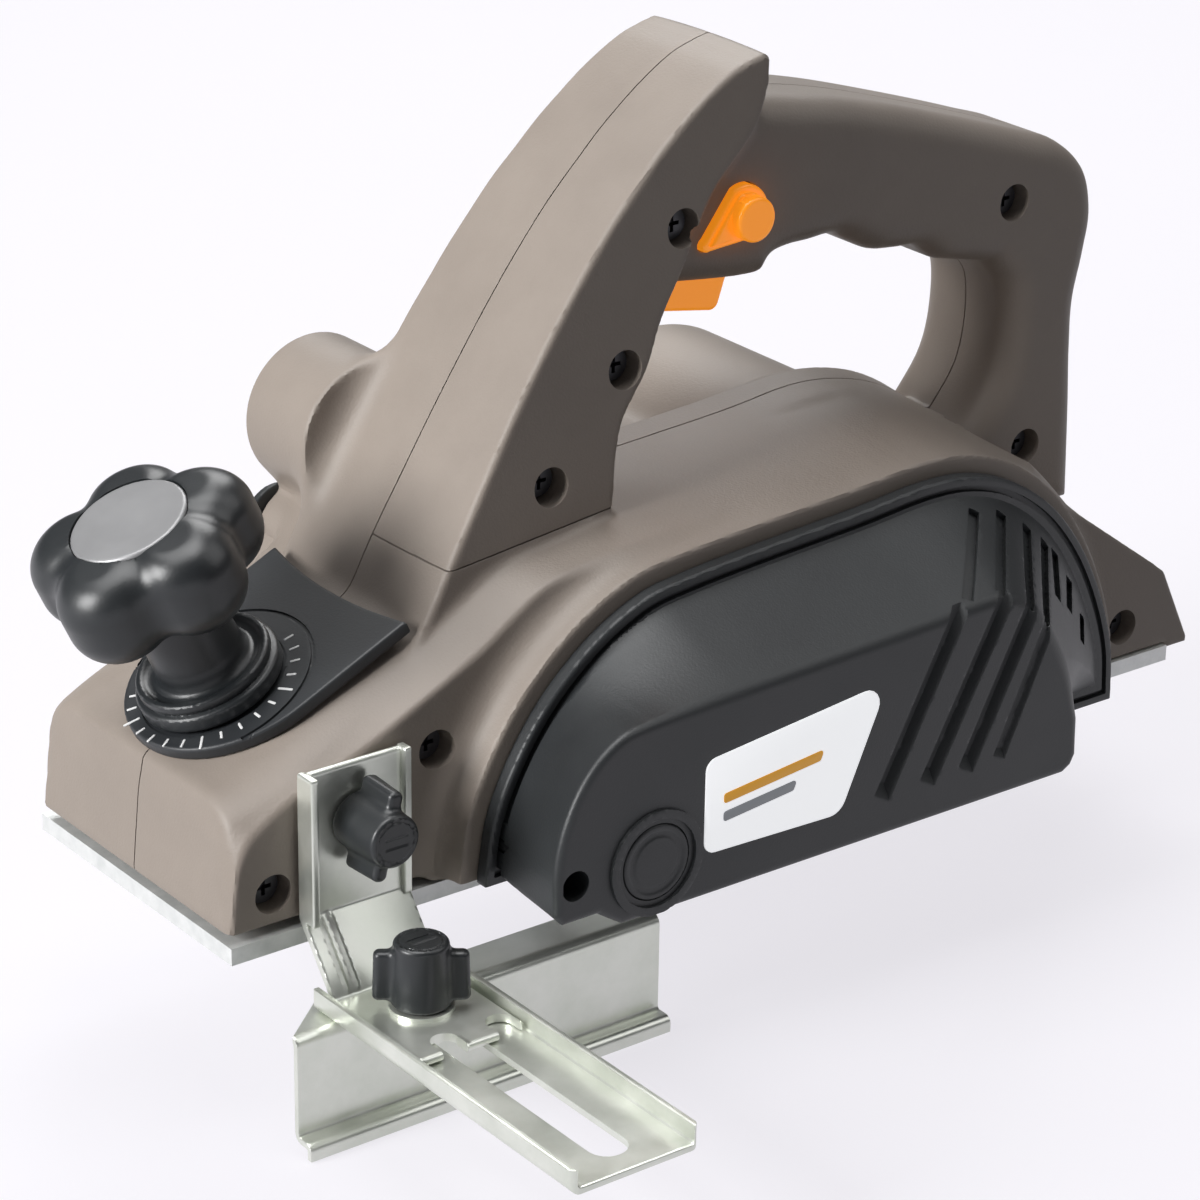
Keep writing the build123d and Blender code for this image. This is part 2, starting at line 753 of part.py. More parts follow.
with BuildPart() as armature_windings:
    for y in (stack_low - 5, stack_high):
        tube_y(motor_x, motor_z, armature_radius - 2.5, motor_shaft_radius, y, y + 5)
save(armature_windings, "armature_windings")

with BuildPart() as commutator:
    tube_y(motor_x, motor_z, 11, motor_shaft_radius, -51, stack_low - 6)
save(commutator, "commutator")

with BuildPart() as stator_core:
    tube_y(motor_x, motor_z, stator_radius, armature_radius + 0.7, stack_low, stack_high)
save(stator_core, "stator_core")

with BuildPart() as stator_windings:
    for y in (stack_low - 4, stack_high):
        tube_y(motor_x, motor_z, 28, armature_radius + 1.5, y, y + 4)
    block(motor_x - 3, motor_x + 3, -60, 60, 0, 100, mode=Mode.SUBTRACT)
save(stator_windings, "stator_windings")

with BuildPart() as cooling_fan:
    tube_y(motor_x, motor_z, 8, motor_shaft_radius, 18, 30)
    tube_y(motor_x, motor_z, fan_radius, 7, 18, 19.6)
    with BuildSketch(Plane(origin=(motor_x, 30, motor_z), x_dir=(1, 0, 0), z_dir=(0, -1, 0))) as vanes:
        with PolarLocations(16.5, 12):
            Rectangle(18, 1.4)
    extrude(vanes.sketch, amount=11)
save(cooling_fan, "cooling_fan")

with BuildPart() as brush_holders:
    for side in (1, -1):
        near, far = sorted((motor_x + side * 11.8, motor_x + side * (stator_radius - 1)))
        block(near, far, brush_y - 4, brush_y + 4, motor_z - 5, motor_z + 5)
        block(near, far, brush_y - 3.1, brush_y + 3.1, motor_z - 4.1, motor_z + 4.1, mode=Mode.SUBTRACT)
save(brush_holders, "brush_holders")

with BuildPart() as carbon_brushes:
    for side in (1, -1):
        near, far = sorted((motor_x + side * 11.3, motor_x + side * 23))
        block(near, far, brush_y - 3, brush_y + 3, motor_z - 4, motor_z + 4)
save(carbon_brushes, "carbon_brushes")

with BuildPart() as brush_springs:
    for side in (1, -1):
        near, far = sorted((motor_x + side * 23, motor_x + side * 31))
        with BuildSketch(cross_plane(near)) as coil:
            with Locations((brush_y, motor_z)):
                Circle(2.6)
                Circle(1.8, mode=Mode.SUBTRACT)
        extrude(coil.sketch, amount=far - near)
save(brush_springs, "brush_springs")

# ---- switch, trigger and lock button -------------------------------------------------
trigger_x, trigger_z = 0.0, 130.8
with BuildPart() as trigger:
    with BuildSketch(side_plane(7)):
        with BuildLine():
            Polyline((3, 133.4), (-21, 133.8), (-22, 124), (-17.6, 112), (0.4, 115.2), (-1.4, 122),
                     (2.6, 127), close=True)
        make_face()
    extrude(amount=14)
    rod_y(trigger_x, trigger_z, 1.5, -20, 20, mode=Mode.SUBTRACT)
    chamfer(trigger.edges().filter_by(lambda edge: edge.center().Z < 121), 1)
save(trigger, "trigger")

with BuildPart() as trigger_pin:
    rod_y(trigger_x, trigger_z, 1.5 - running_gap, -9, 9)
save(trigger_pin, "trigger_pin")

with BuildPart() as trigger_spring:
    with BuildSketch(Plane.XY.offset(134)):
        with Locations((-18, 0)):
            Circle(2.4)
            Circle(1.6, mode=Mode.SUBTRACT)
    extrude(amount=5)
save(trigger_spring, "trigger_spring")

with BuildPart() as switch_body:
    block(-60, -27, -9.5, 9.5, 133, 148)
save(switch_body, "switch_body")

with BuildPart() as suppressor_capacitor:
    block(-92, -72, -7, 7, 124, 138)
save(suppressor_capacitor, "suppressor_capacitor")

with BuildPart() as lock_button:
    extrude(teardrop(side_plane(20.2), 0), amount=9.2)
    rod_y(-15.5, 140, 5.6, 20.2, 24.4)
save(lock_button, "lock_button")

with BuildPart() as lock_spring:
    tube_y(-11, 141, 2.6, 1.8, 2, 11)
save(lock_spring, "lock_spring")

with BuildPart() as cord_gland:
    with BuildSketch(cross_plane(-133.4)):
        with Locations((0, gland_z)):
            Circle(gland_radius)
            Circle(4, mode=Mode.SUBTRACT)
    extrude(amount=7.2)
save(cord_gland, "cord_gland")

# ---- parallel fence --------------------------------------------------------------------
plate_y = body_half_width + 1.4
bracket_low, bracket_high = fence_x - 14.3, fence_x + 14.3
side_knob_z = 29.0
arm_knob_y = 70.0
web_top = fence_plate_top - fence_sheet - 0.3
arm_sheet = 1.6

with BuildPart() as fence_bracket:
    with BuildSketch(cross_plane(bracket_low)):
        with BuildLine():
            Polyline((plate_y, 43), (plate_y + fence_sheet, 43), (plate_y + fence_sheet, 6.5),
                     (57, fence_plate_top), (90, fence_plate_top), (90, fence_plate_top - fence_sheet),
                     (56, fence_plate_top - fence_sheet), (plate_y, 5.7), close=True)
        make_face()
    extrude(amount=bracket_high - bracket_low)
    block(bracket_high - fence_sheet, bracket_high, plate_y, plate_y + 6, 6.5, 43)
    block(bracket_low, bracket_low + fence_sheet, plate_y, plate_y + 3.4, 6.5, 43)
    rod_y(fence_x, side_knob_z, 3.2, 30, 60, mode=Mode.SUBTRACT)
    with Locations((fence_x, arm_knob_y, 0)):
        Cylinder(3.2, 60, mode=Mode.SUBTRACT)
    with Locations((fence_x - 8, 91, 0), (fence_x + 8, 91, 0)):
        Cylinder(4, 60, mode=Mode.SUBTRACT)
save(fence_bracket, "fence_bracket")

with BuildPart() as fence_arm:
    block(fence_x - arm_half_width, fence_x + arm_half_width, 52, arm_end, web_top - arm_sheet, web_top)
    for side in (-1, 1):
        inner, outer = sorted((side * arm_half_width, side * (arm_half_width - arm_sheet)))
        block(fence_x + inner, fence_x + outer, 52, arm_end, web_top, fence_plate_top + 2)
    with BuildSketch(Plane.XY):
        with Locations((fence_x, 103.5)):
            SlotOverall(79, 9.5, rotation=90)
    extrude(amount=-30, mode=Mode.SUBTRACT)
save(fence_arm, "fence_arm")

rail_sheet = 1.6
rail_top = web_top - arm_sheet
foot_reach, lip_drop = 5.0, 3.0
with BuildPart() as fence_rail:
    with BuildSketch(cross_plane(rail_rear)):
        with BuildLine():
            foot_top, lip_y = rail_bottom + 1, rail_y + foot_reach
            foot_under, rail_back = foot_top - rail_sheet, rail_y - rail_sheet
            Polyline((48, rail_top), (rail_y, rail_top), (rail_y, foot_top), (lip_y, foot_top),
                     (lip_y, rail_bottom - lip_drop), (lip_y - rail_sheet, rail_bottom - lip_drop),
                     (lip_y - rail_sheet, foot_under), (rail_back, foot_under),
                     (rail_back, rail_top - rail_sheet), (48, rail_top - rail_sheet), close=True)
        make_face()
    extrude(amount=rail_front - rail_rear)
save(fence_rail, "fence_rail")


side_knob_plane = Plane(origin=(fence_x, plate_y + fence_sheet + 0.4, side_knob_z), x_dir=(1, 0, 0),
                        z_dir=(0, 1, 0))
arm_knob_plane = Plane(origin=(fence_x, arm_knob_y, fence_plate_top + 1.2), x_dir=(1, 0, 0),
                       z_dir=(0, 0, 1))
clamp_hub_radius, clamp_hub_height = 6.9, 16.0
wing_reach, wing_thickness, wing_corner = 11.2, 4.4, 1.6
wing_low, wing_high = 1.2, 13.2


def clamp_knob(plane, turn):
    """Clamp knob standing on the plane: a round hub with two wings turned by an angle in degrees."""
    with BuildPart() as knob:
        with BuildSketch(plane) as hub:
            Circle(clamp_hub_radius)
        extrude(hub.sketch, amount=clamp_hub_height, taper=2)
        with BuildSketch(plane.offset(wing_low)) as wings:
            RectangleRounded(2 * wing_reach, wing_thickness, wing_corner, rotation=turn)
        extrude(wings.sketch, amount=wing_high - wing_low)
        with BuildSketch(plane) as hole:
            Circle(3)
        extrude(hole.sketch, amount=10, mode=Mode.SUBTRACT)
    return knob


side_knob = clamp_knob(side_knob_plane, 76)
save(side_knob, "side_knob")
arm_knob = clamp_knob(arm_knob_plane, 145)
save(arm_knob, "arm_knob")

with BuildPart() as side_knob_bolt:
    with BuildSketch(side_knob_plane.offset(10)) as shank:
        Circle(3)
    extrude(shank.sketch, amount=-24)
save(side_knob_bolt, "side_knob_bolt")

with BuildPart() as arm_bolt:
    with BuildSketch(Plane.XY.offset(web_top - arm_sheet - 3)) as head:
        with Locations((fence_x, arm_knob_y)):
            Circle(6)
    extrude(head.sketch, amount=2.7)
    with BuildSketch(Plane.XY.offset(web_top - arm_sheet - 0.3)) as shank:
        with Locations((fence_x, arm_knob_y)):
            Circle(3 - running_gap)
    extrude(shank.sketch, amount=15)
save(arm_bolt, "arm_bolt")

with BuildPart() as arm_washer:
    with BuildSketch(Plane.XY.offset(fence_plate_top)) as ring:
        with Locations((fence_x, arm_knob_y)):
            Circle(7.5)
            Circle(3.2, mode=Mode.SUBTRACT)
    extrude(ring.sketch, amount=1)
save(arm_washer, "arm_washer")

with BuildPart() as fence_insert:
    tube_y(fence_x, side_knob_z, 5, 3 + running_gap, 28.5, 41)
save(fence_insert, "fence_insert")
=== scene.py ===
"""Electric hand planer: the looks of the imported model, built in mesh code round the fixed frame.

All shapes are worked out in millimetres in the model's own frame and turned into metres at the end.
Moulded parts are distance fields, cut along their real joints and meshed with dual contouring.
"""
import json
from math import cos, pi, radians, sin, sqrt

import bmesh
import bpy
import numpy as np
from mathutils import Matrix, Vector


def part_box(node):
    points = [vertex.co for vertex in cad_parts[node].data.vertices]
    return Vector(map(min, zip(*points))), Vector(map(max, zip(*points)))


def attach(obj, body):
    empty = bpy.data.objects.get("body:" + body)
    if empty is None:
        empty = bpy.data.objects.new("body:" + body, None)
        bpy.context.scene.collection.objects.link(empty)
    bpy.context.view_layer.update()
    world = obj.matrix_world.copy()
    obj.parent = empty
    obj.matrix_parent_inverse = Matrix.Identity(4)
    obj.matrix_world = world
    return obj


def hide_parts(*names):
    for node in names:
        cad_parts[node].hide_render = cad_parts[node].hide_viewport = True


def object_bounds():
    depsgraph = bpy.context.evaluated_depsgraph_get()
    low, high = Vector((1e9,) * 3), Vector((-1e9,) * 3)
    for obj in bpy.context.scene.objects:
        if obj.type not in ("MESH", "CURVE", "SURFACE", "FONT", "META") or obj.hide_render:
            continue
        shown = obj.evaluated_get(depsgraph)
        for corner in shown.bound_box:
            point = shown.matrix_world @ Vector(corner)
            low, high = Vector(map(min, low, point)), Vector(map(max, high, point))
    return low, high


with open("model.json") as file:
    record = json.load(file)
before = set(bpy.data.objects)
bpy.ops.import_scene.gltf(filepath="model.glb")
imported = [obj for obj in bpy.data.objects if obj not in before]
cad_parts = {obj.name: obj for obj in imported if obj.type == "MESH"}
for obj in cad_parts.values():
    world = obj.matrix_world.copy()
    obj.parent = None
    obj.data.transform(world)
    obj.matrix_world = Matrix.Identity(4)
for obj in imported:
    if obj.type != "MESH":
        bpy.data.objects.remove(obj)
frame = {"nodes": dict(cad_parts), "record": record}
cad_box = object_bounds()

MM = 0.001
COARSE = 0.9


# ---- distance fields -----------------------------------------------------------
class Outline:
    """Signed distance to a closed outline drawn in the plane of two axes, read from a fine table."""

    step = 0.5
    margin = 14.0

    def __init__(self, points):
        points = np.array(points, float)
        self.low = points.min(0) - self.margin
        size = np.ceil((points.max(0) + self.margin - self.low) / self.step).astype(int) + 1
        self.size = size
        u = self.low[0] + self.step * np.arange(size[0])
        v = self.low[1] + self.step * np.arange(size[1])
        grid = np.stack(np.meshgrid(u, v, indexing="ij"), -1)
        best = np.full(grid.shape[:2], 1e9)
        inside = np.zeros(grid.shape[:2], bool)
        for a, b in zip(points, np.roll(points, -1, 0)):
            edge = b - a
            length = edge @ edge
            if length < 1e-9:
                continue
            away = grid - a
            t = np.clip((away @ edge) / length, 0, 1)
            near = away - t[..., None] * edge
            best = np.minimum(best, (near**2).sum(-1))
            crossed = (a[1] > grid[..., 1]) != (b[1] > grid[..., 1])
            if edge[1] != 0:
                at = a[0] + (grid[..., 1] - a[1]) * edge[0] / edge[1]
                inside ^= crossed & (grid[..., 0] < at)
        self.table = np.where(inside, -1, 1).astype(np.float32) * np.sqrt(best).astype(np.float32)

    def __call__(self, u, v):
        high = self.low + self.step * (self.size - 1)
        cu = np.clip(u, self.low[0], high[0])
        cv = np.clip(v, self.low[1], high[1])
        outside = np.hypot(u - cu, v - cv)
        fu = (cu - self.low[0]) / self.step
        fv = (cv - self.low[1]) / self.step
        iu = np.minimum(fu.astype(int), self.size[0] - 2)
        iv = np.minimum(fv.astype(int), self.size[1] - 2)
        fu -= iu
        fv -= iv
        t = self.table
        value = (t[iu, iv] * (1 - fu) + t[iu + 1, iv] * fu) * (1 - fv) + (
            t[iu, iv + 1] * (1 - fu) + t[iu + 1, iv + 1] * fu) * fv
        return value + outside


def curve(points, closed=False, per_span=8):
    """Smooth line through points (a centripetal Catmull-Rom spline)."""
    p = np.array(points, float)
    if closed:
        p = np.vstack([p[-1], p, p[0], p[1]])
    else:
        p = np.vstack([2 * p[0] - p[1], p, 2 * p[-1] - p[-2]])
    out = []
    for i in range(1, len(p) - 2):
        t0 = 0.0
        t1 = t0 + np.linalg.norm(p[i] - p[i - 1]) ** 0.5
        t2 = t1 + np.linalg.norm(p[i + 1] - p[i]) ** 0.5
        t3 = t2 + np.linalg.norm(p[i + 2] - p[i + 1]) ** 0.5
        for t in np.linspace(t1, t2, per_span, endpoint=False):
            a1 = (t1 - t) / (t1 - t0) * p[i - 1] + (t - t0) / (t1 - t0) * p[i]
            a2 = (t2 - t) / (t2 - t1) * p[i] + (t - t1) / (t2 - t1) * p[i + 1]
            a3 = (t3 - t) / (t3 - t2) * p[i + 1] + (t - t2) / (t3 - t2) * p[i + 2]
            b1 = (t2 - t) / (t2 - t0) * a1 + (t - t0) / (t2 - t0) * a2
            b2 = (t3 - t) / (t3 - t1) * a2 + (t - t1) / (t3 - t1) * a3
            out.append((t2 - t) / (t2 - t1) * b1 + (t - t1) / (t2 - t1) * b2)
    if not closed:
        out.append(p[-2])
    return [tuple(q) for q in out]


def rounded(points, radii, steps=7):
    """Closed outline with its corners rounded to the given radii."""
    out = []
    count = len(points)
    if isinstance(radii, dict):
        radii = [radii.get(i, 0) for i in range(count)]
    elif not hasattr(radii, "__len__"):
        radii = [radii] * count
    for i in range(count):
        p0, p1, p2 = (np.array(points[(i + k) % count], float) for k in (-1, 0, 1))
        a, b = p0 - p1, p2 - p1
        if radii[i] <= 0:
            out.append(tuple(p1))
            continue
        la, lb = np.linalg.norm(a), np.linalg.norm(b)
        a, b = a / la, b / lb
        half = 0.5 * np.arccos(np.clip(a @ b, -1, 1))
        r = radii[i]
        if half > 1.55:
            out.append(tuple(p1))
            continue
        reach = min(r / np.tan(half), 0.49 * la, 0.49 * lb)
        r = reach * np.tan(half)
        middle = p1 + (a + b) / np.linalg.norm(a + b) * (r / np.sin(half))
        start, end = p1 + a * reach - middle, p1 + b * reach - middle
        turn = np.arctan2(start[0] * end[1] - start[1] * end[0], start @ end)
        first = np.arctan2(start[1], start[0])
        for s in np.linspace(0, 1, steps):
            angle = first + turn * s
            out.append((middle[0] + r * np.cos(angle), middle[1] + r * np.sin(angle)))
    return out


def union(*fields):
    out = fields[0]
    for f in fields[1:]:
        out = np.minimum(out, f)
    return out


def both(*fields):
    out = fields[0]
    for f in fields[1:]:
        out = np.maximum(out, f)
    return out


def blend_union(a, b, k):
    """Union with a hollow fillet of about k where the two meet."""
    h = np.clip(0.5 + 0.5 * (b - a) / k, 0, 1)
    return b + (a - b) * h - k * h * (1 - h)


def round_both(a, b, r):
    """Intersection whose edge is rounded to radius r."""
    return np.minimum(np.maximum(a, b) + r, 0) + np.hypot(np.maximum(a + r, 0), np.maximum(b + r, 0)) - r


def cut(a, b):
    return np.maximum(a, -b)


def disc(u, v, cu, cv, r):
    return np.hypot(u - cu, v - cv) - r


def span(u, low, high):
    return np.abs(u - (low + high) / 2) - (high - low) / 2


def box3(x, y, z, x0, x1, y0, y1, z0, z1, r=0.0):
    dx, dy, dz = span(x, x0, x1) + r, span(y, y0, y1) + r, span(z, z0, z1) + r
    outside = np.sqrt(np.maximum(dx, 0) ** 2 + np.maximum(dy, 0) ** 2 + np.maximum(dz, 0) ** 2)
    return outside + np.minimum(np.maximum(dx, np.maximum(dy, dz)), 0) - r


def rod(x, y, z, cx, cz, r, y0, y1, edge=0.0):
    side = disc(x, z, cx, cz, r)
    ends = span(y, y0, y1)
    return round_both(side, ends, edge) if edge else np.maximum(side, ends)


def plane(x, y, z, point, normal):
    n = np.array(normal, float)
    n /= np.linalg.norm(n)
    return (x - point[0]) * n[0] + (y - point[1]) * n[1] + (z - point[2]) * n[2]


# ---- dual contouring --------------------------------------------------------------
def contour(field, low, high, step):
    """Mesh of the field's zero surface: vertices in mm and quads."""
    block = 8
    low = np.array(low, float) - step
    count = np.ceil((np.array(high, float) + step - low) / step / block).astype(int)
    nodes = count * block
    half = block * step / 2
    centres = np.stack(np.meshgrid(*[low[a] + (np.arange(count[a]) + 0.5) * block * step for a in range(3)],
                                   indexing="ij"), -1).reshape(-1, 3)
    rough = field(*(centres[:, a].astype(np.float32) for a in range(3)))
    values = np.repeat(np.repeat(np.repeat(rough.reshape(count), block, 0), block, 1), block,
                       2).astype(np.float32)
    active = np.argwhere(np.abs(rough.reshape(count)) < half * 1.75 * 1.35 + step)
    inner = np.stack(np.meshgrid(*[np.arange(block)] * 3, indexing="ij"), -1).reshape(-1, 3)
    for start in range(0, len(active), 1200):
        ids = (active[start:start + 1200, None, :] * block + inner[None]).reshape(-1, 3)
        p = low + ids * step
        values[ids[:, 0], ids[:, 1], ids[:, 2]] = field(*(p[:, a].astype(np.float32) for a in range(3)))
    values = np.where(values == 0, 1e-4, values)
    solid = values < 0
    edge_lists, points = [], []
    for axis in range(3):
        a = [slice(None)] * 3
        b = [slice(None)] * 3
        a[axis], b[axis] = slice(None, -1), slice(1, None)
        ids = np.argwhere(solid[tuple(a)] != solid[tuple(b)])
        p = low + ids * step
        va = field(*(p[:, k] for k in range(3)))
        p[:, axis] += step
        vb = field(*(p[:, k] for k in range(3)))
        vb = np.where((va < 0) == (vb < 0), -va, vb)
        lo_t, hi_t = np.zeros(len(ids)), np.ones(len(ids))
        vb = np.where(va == vb, va + 1e-6, vb)
        t = va / (va - vb)
        for _ in range(3):
            p = low + ids * step
            p[:, axis] += t * step
            v = field(*(p[:, k] for k in range(3)))
            same = (v < 0) == (va < 0)
            lo_t, hi_t = np.where(same, t, lo_t), np.where(same, hi_t, t)
            va = np.where(same, v, va)
            vb = np.where(same, vb, v)
            share = np.clip(np.nan_to_num(va / np.where(va == vb, 1, va - vb), nan=0.5), 0.05, 0.95)
            t = lo_t + (hi_t - lo_t) * share
        p = low + ids * step
        p[:, axis] += t * step
        edge_lists.append((axis, ids, solid[ids[:, 0], ids[:, 1], ids[:, 2]]))
        points.append(p)
    all_points = np.vstack(points)
    e = 0.12 * step
    normals = np.empty_like(all_points)
    for axis in range(3):
        ahead, behind = all_points.copy(), all_points.copy()
        ahead[:, axis] += e
        behind[:, axis] -= e
        normals[:, axis] = field(*(ahead[:, k] for k in range(3))) - field(*(behind[:, k] for k in range(3)))
    normals /= np.maximum(np.linalg.norm(normals, axis=1, keepdims=True), 1e-9)
    cells, faces_cells, start = [], [], 0
    shape = nodes
    for axis, ids, inside in edge_lists:
        b, c = (axis + 1) % 3, (axis + 2) % 3
        around = []
        for db, dc in ((0, 0), (1, 0), (1, 1), (0, 1)):
            cell = ids.copy()
            cell[:, b] -= db
            cell[:, c] -= dc
            around.append((cell[:, 0] * shape[1] + cell[:, 1]) * shape[2] + cell[:, 2])
        quad = np.stack(around, 1)
        quad[~inside] = quad[~inside][:, ::-1]
        cells.append(np.stack(around, 1))
        faces_cells.append(quad)
    owner = np.vstack(cells)
    unique, index = np.unique(owner.ravel(), return_inverse=True)
    index = index.reshape(-1)
    which = np.repeat(np.arange(len(all_points)), 4)
    total = len(unique)
    weight = np.bincount(index, minlength=total).astype(float)
    mass = np.stack([np.bincount(index, all_points[which, a], total) for a in range(3)], 1) / weight[:, None]
    n = normals[which]
    d = ((all_points[which] - mass[index]) * n).sum(1)
    ata = np.empty((total, 3, 3))
    for i in range(3):
        for j in range(i, 3):
            ata[:, i, j] = ata[:, j, i] = np.bincount(index, n[:, i] * n[:, j], total)
    atb = np.stack([np.bincount(index, n[:, a] * d, total) for a in range(3)], 1)
    ata += (0.04 * weight)[:, None, None] * np.eye(3)
    move = np.linalg.solve(ata, atb[..., None])[..., 0]
    where = np.stack([unique // (shape[1] * shape[2]), unique // shape[2] % shape[1], unique % shape[2]], 1)
    cell_low = low + where * step
    verts = np.clip(mass + move, cell_low, cell_low + step)
    lookup_faces = np.searchsorted(unique, np.vstack(faces_cells))
    return verts, lookup_faces


def shaded(mesh, angle=32):
    """Smooth shading that keeps edges sharper than the angle."""
    mesh.polygons.foreach_set("use_smooth", np.ones(len(mesh.polygons), bool))
    mesh.set_sharp_from_angle(angle=radians(angle))


def new_piece(mesh, body, material, nodes, angle):
    """Put a mesh in the scene as a piece that rides on a body and stands in for the named CAD nodes."""
    shaded(mesh, angle)
    obj = bpy.data.objects.new(mesh.name, mesh)
    bpy.context.scene.collection.objects.link(obj)
    mesh.materials.append(material)
    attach(obj, body)
    if nodes:
        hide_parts(*nodes)


def mesh_object(name, verts, faces, body, material, nodes=(), angle=32):
    """New piece from vertices in mm."""
    mesh = bpy.data.meshes.new(name)
    verts = np.asarray(verts, np.float32) * MM
    faces = np.asarray(faces, np.int32)
    mesh.vertices.add(len(verts))
    mesh.vertices.foreach_set("co", verts.ravel())
    mesh.loops.add(faces.size)
    mesh.loops.foreach_set("vertex_index", faces.ravel())
    mesh.polygons.add(len(faces))
    mesh.polygons.foreach_set("loop_start", np.arange(len(faces), dtype=np.int32) * faces.shape[1])
    mesh.update(calc_edges=True)
    mesh.validate()
    new_piece(mesh, body, material, nodes, angle)


def moulded(name, field, low, high, step, body, slot, material, nodes=(), angle=32):
    verts, faces = contour(field, low, high, step)
    mesh_object(name, verts, faces, body, material, nodes, angle)


# ---- materials ------------------------------------------------------------------
def link(tree, a, out, b, into):
    tree.links.new(a.outputs[out], b.inputs[into])


def surface(name, colour, dark, rough, metallic=0.0, colour_scale=40.0, grain=900.0, bump=0.25, grain_mm=0.06,
            rough_spread=0.08, streak=None, specular=0.5, glow=0.0):
    """Procedural finish: colour mottling, fine grain relief and roughness that varies; glow adds emission in
    the base colour, painted light that makes the surface shine by itself.
    """
    material = bpy.data.materials.new(name)
    material.use_nodes = True
    tree = material.node_tree
    shader = tree.nodes["Principled BSDF"]
    shader.inputs["Metallic"].default_value = metallic
    shader.inputs["Specular IOR Level"].default_value = specular
    shader.inputs["Emission Color"].default_value = (*colour, 1)
    shader.inputs["Emission Strength"].default_value = glow
    place = tree.nodes.new("ShaderNodeTexCoord")
    mapping = tree.nodes.new("ShaderNodeMapping")
    mapping.inputs["Scale"].default_value = streak or (1, 1, 1)
    link(tree, place, "Object", mapping, "Vector")
    big = tree.nodes.new("ShaderNodeTexNoise")
    big.inputs["Scale"].default_value = colour_scale
    big.inputs["Detail"].default_value = 5
    big.inputs["Roughness"].default_value = 0.6
    link(tree, mapping, "Vector", big, "Vector")
    mix = tree.nodes.new("ShaderNodeMix")
    mix.data_type = "RGBA"
    mix.inputs["A"].default_value = (*dark, 1)
    mix.inputs["B"].default_value = (*colour, 1)
    spread = tree.nodes.new("ShaderNodeMapRange")
    spread.inputs["From Min"].default_value = 0.28
    spread.inputs["From Max"].default_value = 0.72
    link(tree, big, "Fac", spread, "Value")
    link(tree, spread, "Result", mix, "Factor")
    link(tree, mix, "Result", shader, "Base Color")
    fine = tree.nodes.new("ShaderNodeTexNoise")
    fine.inputs["Scale"].default_value = grain
    fine.inputs["Detail"].default_value = 3
    link(tree, mapping, "Vector", fine, "Vector")
    range_rough = tree.nodes.new("ShaderNodeMapRange")
    range_rough.inputs["To Min"].default_value = rough - rough_spread
    range_rough.inputs["To Max"].default_value = rough + rough_spread
    link(tree, big, "Fac", range_rough, "Value")
    link(tree, range_rough, "Result", shader, "Roughness")
    relief = tree.nodes.new("ShaderNodeBump")
    relief.inputs["Strength"].default_value = bump
    relief.inputs["Distance"].default_value = grain_mm * MM
    link(tree, fine, "Fac", relief, "Height")
    link(tree, relief, "Normal", shader, "Normal")
    return material


housing_finish = surface("taupe_plastic", (0.300, 0.256, 0.220), (0.268, 0.228, 0.196), 0.50, grain=1500,
                         bump=0.55, grain_mm=0.14, specular=0.4)
cover_finish = surface("black_satin", (0.016, 0.019, 0.021), (0.012, 0.014, 0.016), 0.48, grain=1700,
                       bump=0.5, grain_mm=0.10, specular=0.55)
knob_finish = surface("knob_black", (0.019, 0.022, 0.024), (0.014, 0.016, 0.018), 0.36, grain=1300, bump=0.25,
                      grain_mm=0.08)
dial_finish = surface("dial_black", (0.024, 0.027, 0.030), (0.019, 0.021, 0.024), 0.46, grain=1500, bump=0.35,
                      grain_mm=0.1)
# The orange plastic glows in its own colour (emission 0.62): painted light that keeps the trigger and lock
# button bright in shade.
orange_glowing_finish = surface("orange_plastic_self_lit", (0.95, 0.30, 0.012), (0.92, 0.26, 0.010), 0.24, grain=400,
                        bump=0.08, glow=0.62)
disc_finish = surface("grey_disc", (0.30, 0.30, 0.305), (0.25, 0.25, 0.255), 0.38, metallic=0.3, grain=900,
                      bump=0.12)
zinc_finish = surface("zinc_plate", (0.76, 0.775, 0.72), (0.62, 0.65, 0.58), 0.33, metallic=0.8,
                      colour_scale=70, grain=420, bump=0.12, grain_mm=0.12, rough_spread=0.12)
casting_finish = surface("cast_aluminium", (0.78, 0.79, 0.78), (0.64, 0.66, 0.65), 0.42, metallic=0.45,
                         colour_scale=220, grain=900, bump=0.35, grain_mm=0.15)
steel_finish = surface("turned_steel", (0.55, 0.55, 0.56), (0.45, 0.45, 0.46), 0.3, metallic=1.0, grain=1200,
                       bump=0.1)
black_steel_finish = surface("black_oxide", (0.07, 0.07, 0.075), (0.05, 0.05, 0.055), 0.4, metallic=0.8,
                             grain=900, bump=0.1)
blade_finish = surface("ground_steel", (0.7, 0.7, 0.72), (0.6, 0.6, 0.62), 0.2, metallic=1.0, grain=900,
                       bump=0.08, streak=(1, 0.1, 1))
drum_finish = surface("turned_aluminium", (0.6, 0.61, 0.62), (0.5, 0.51, 0.52), 0.35, metallic=0.9, grain=700,
                      bump=0.12, streak=(1, 0.2, 1))
rubber_finish = surface("black_rubber", (0.02, 0.02, 0.02), (0.015, 0.015, 0.015), 0.62, grain=800, bump=0.3)
iron_finish = surface("lamination_iron", (0.25, 0.24, 0.235), (0.18, 0.17, 0.165), 0.45, metallic=0.7,
                      grain=700, bump=0.3, streak=(1, 4, 1))
copper_finish = surface("enamelled_copper", (0.55, 0.22, 0.09), (0.42, 0.16, 0.06), 0.3, metallic=0.9,
                        grain=600, bump=0.3)
brass_finish = surface("drawn_brass", (0.7, 0.52, 0.22), (0.6, 0.43, 0.18), 0.3, metallic=1.0, grain=700,
                       bump=0.1)
carbon_finish = surface("pressed_carbon", (0.04, 0.04, 0.042), (0.03, 0.03, 0.03), 0.5, grain=900, bump=0.3)
fan_finish = surface("fan_plastic", (0.1, 0.1, 0.11), (0.08, 0.08, 0.09), 0.45, grain=800, bump=0.2)
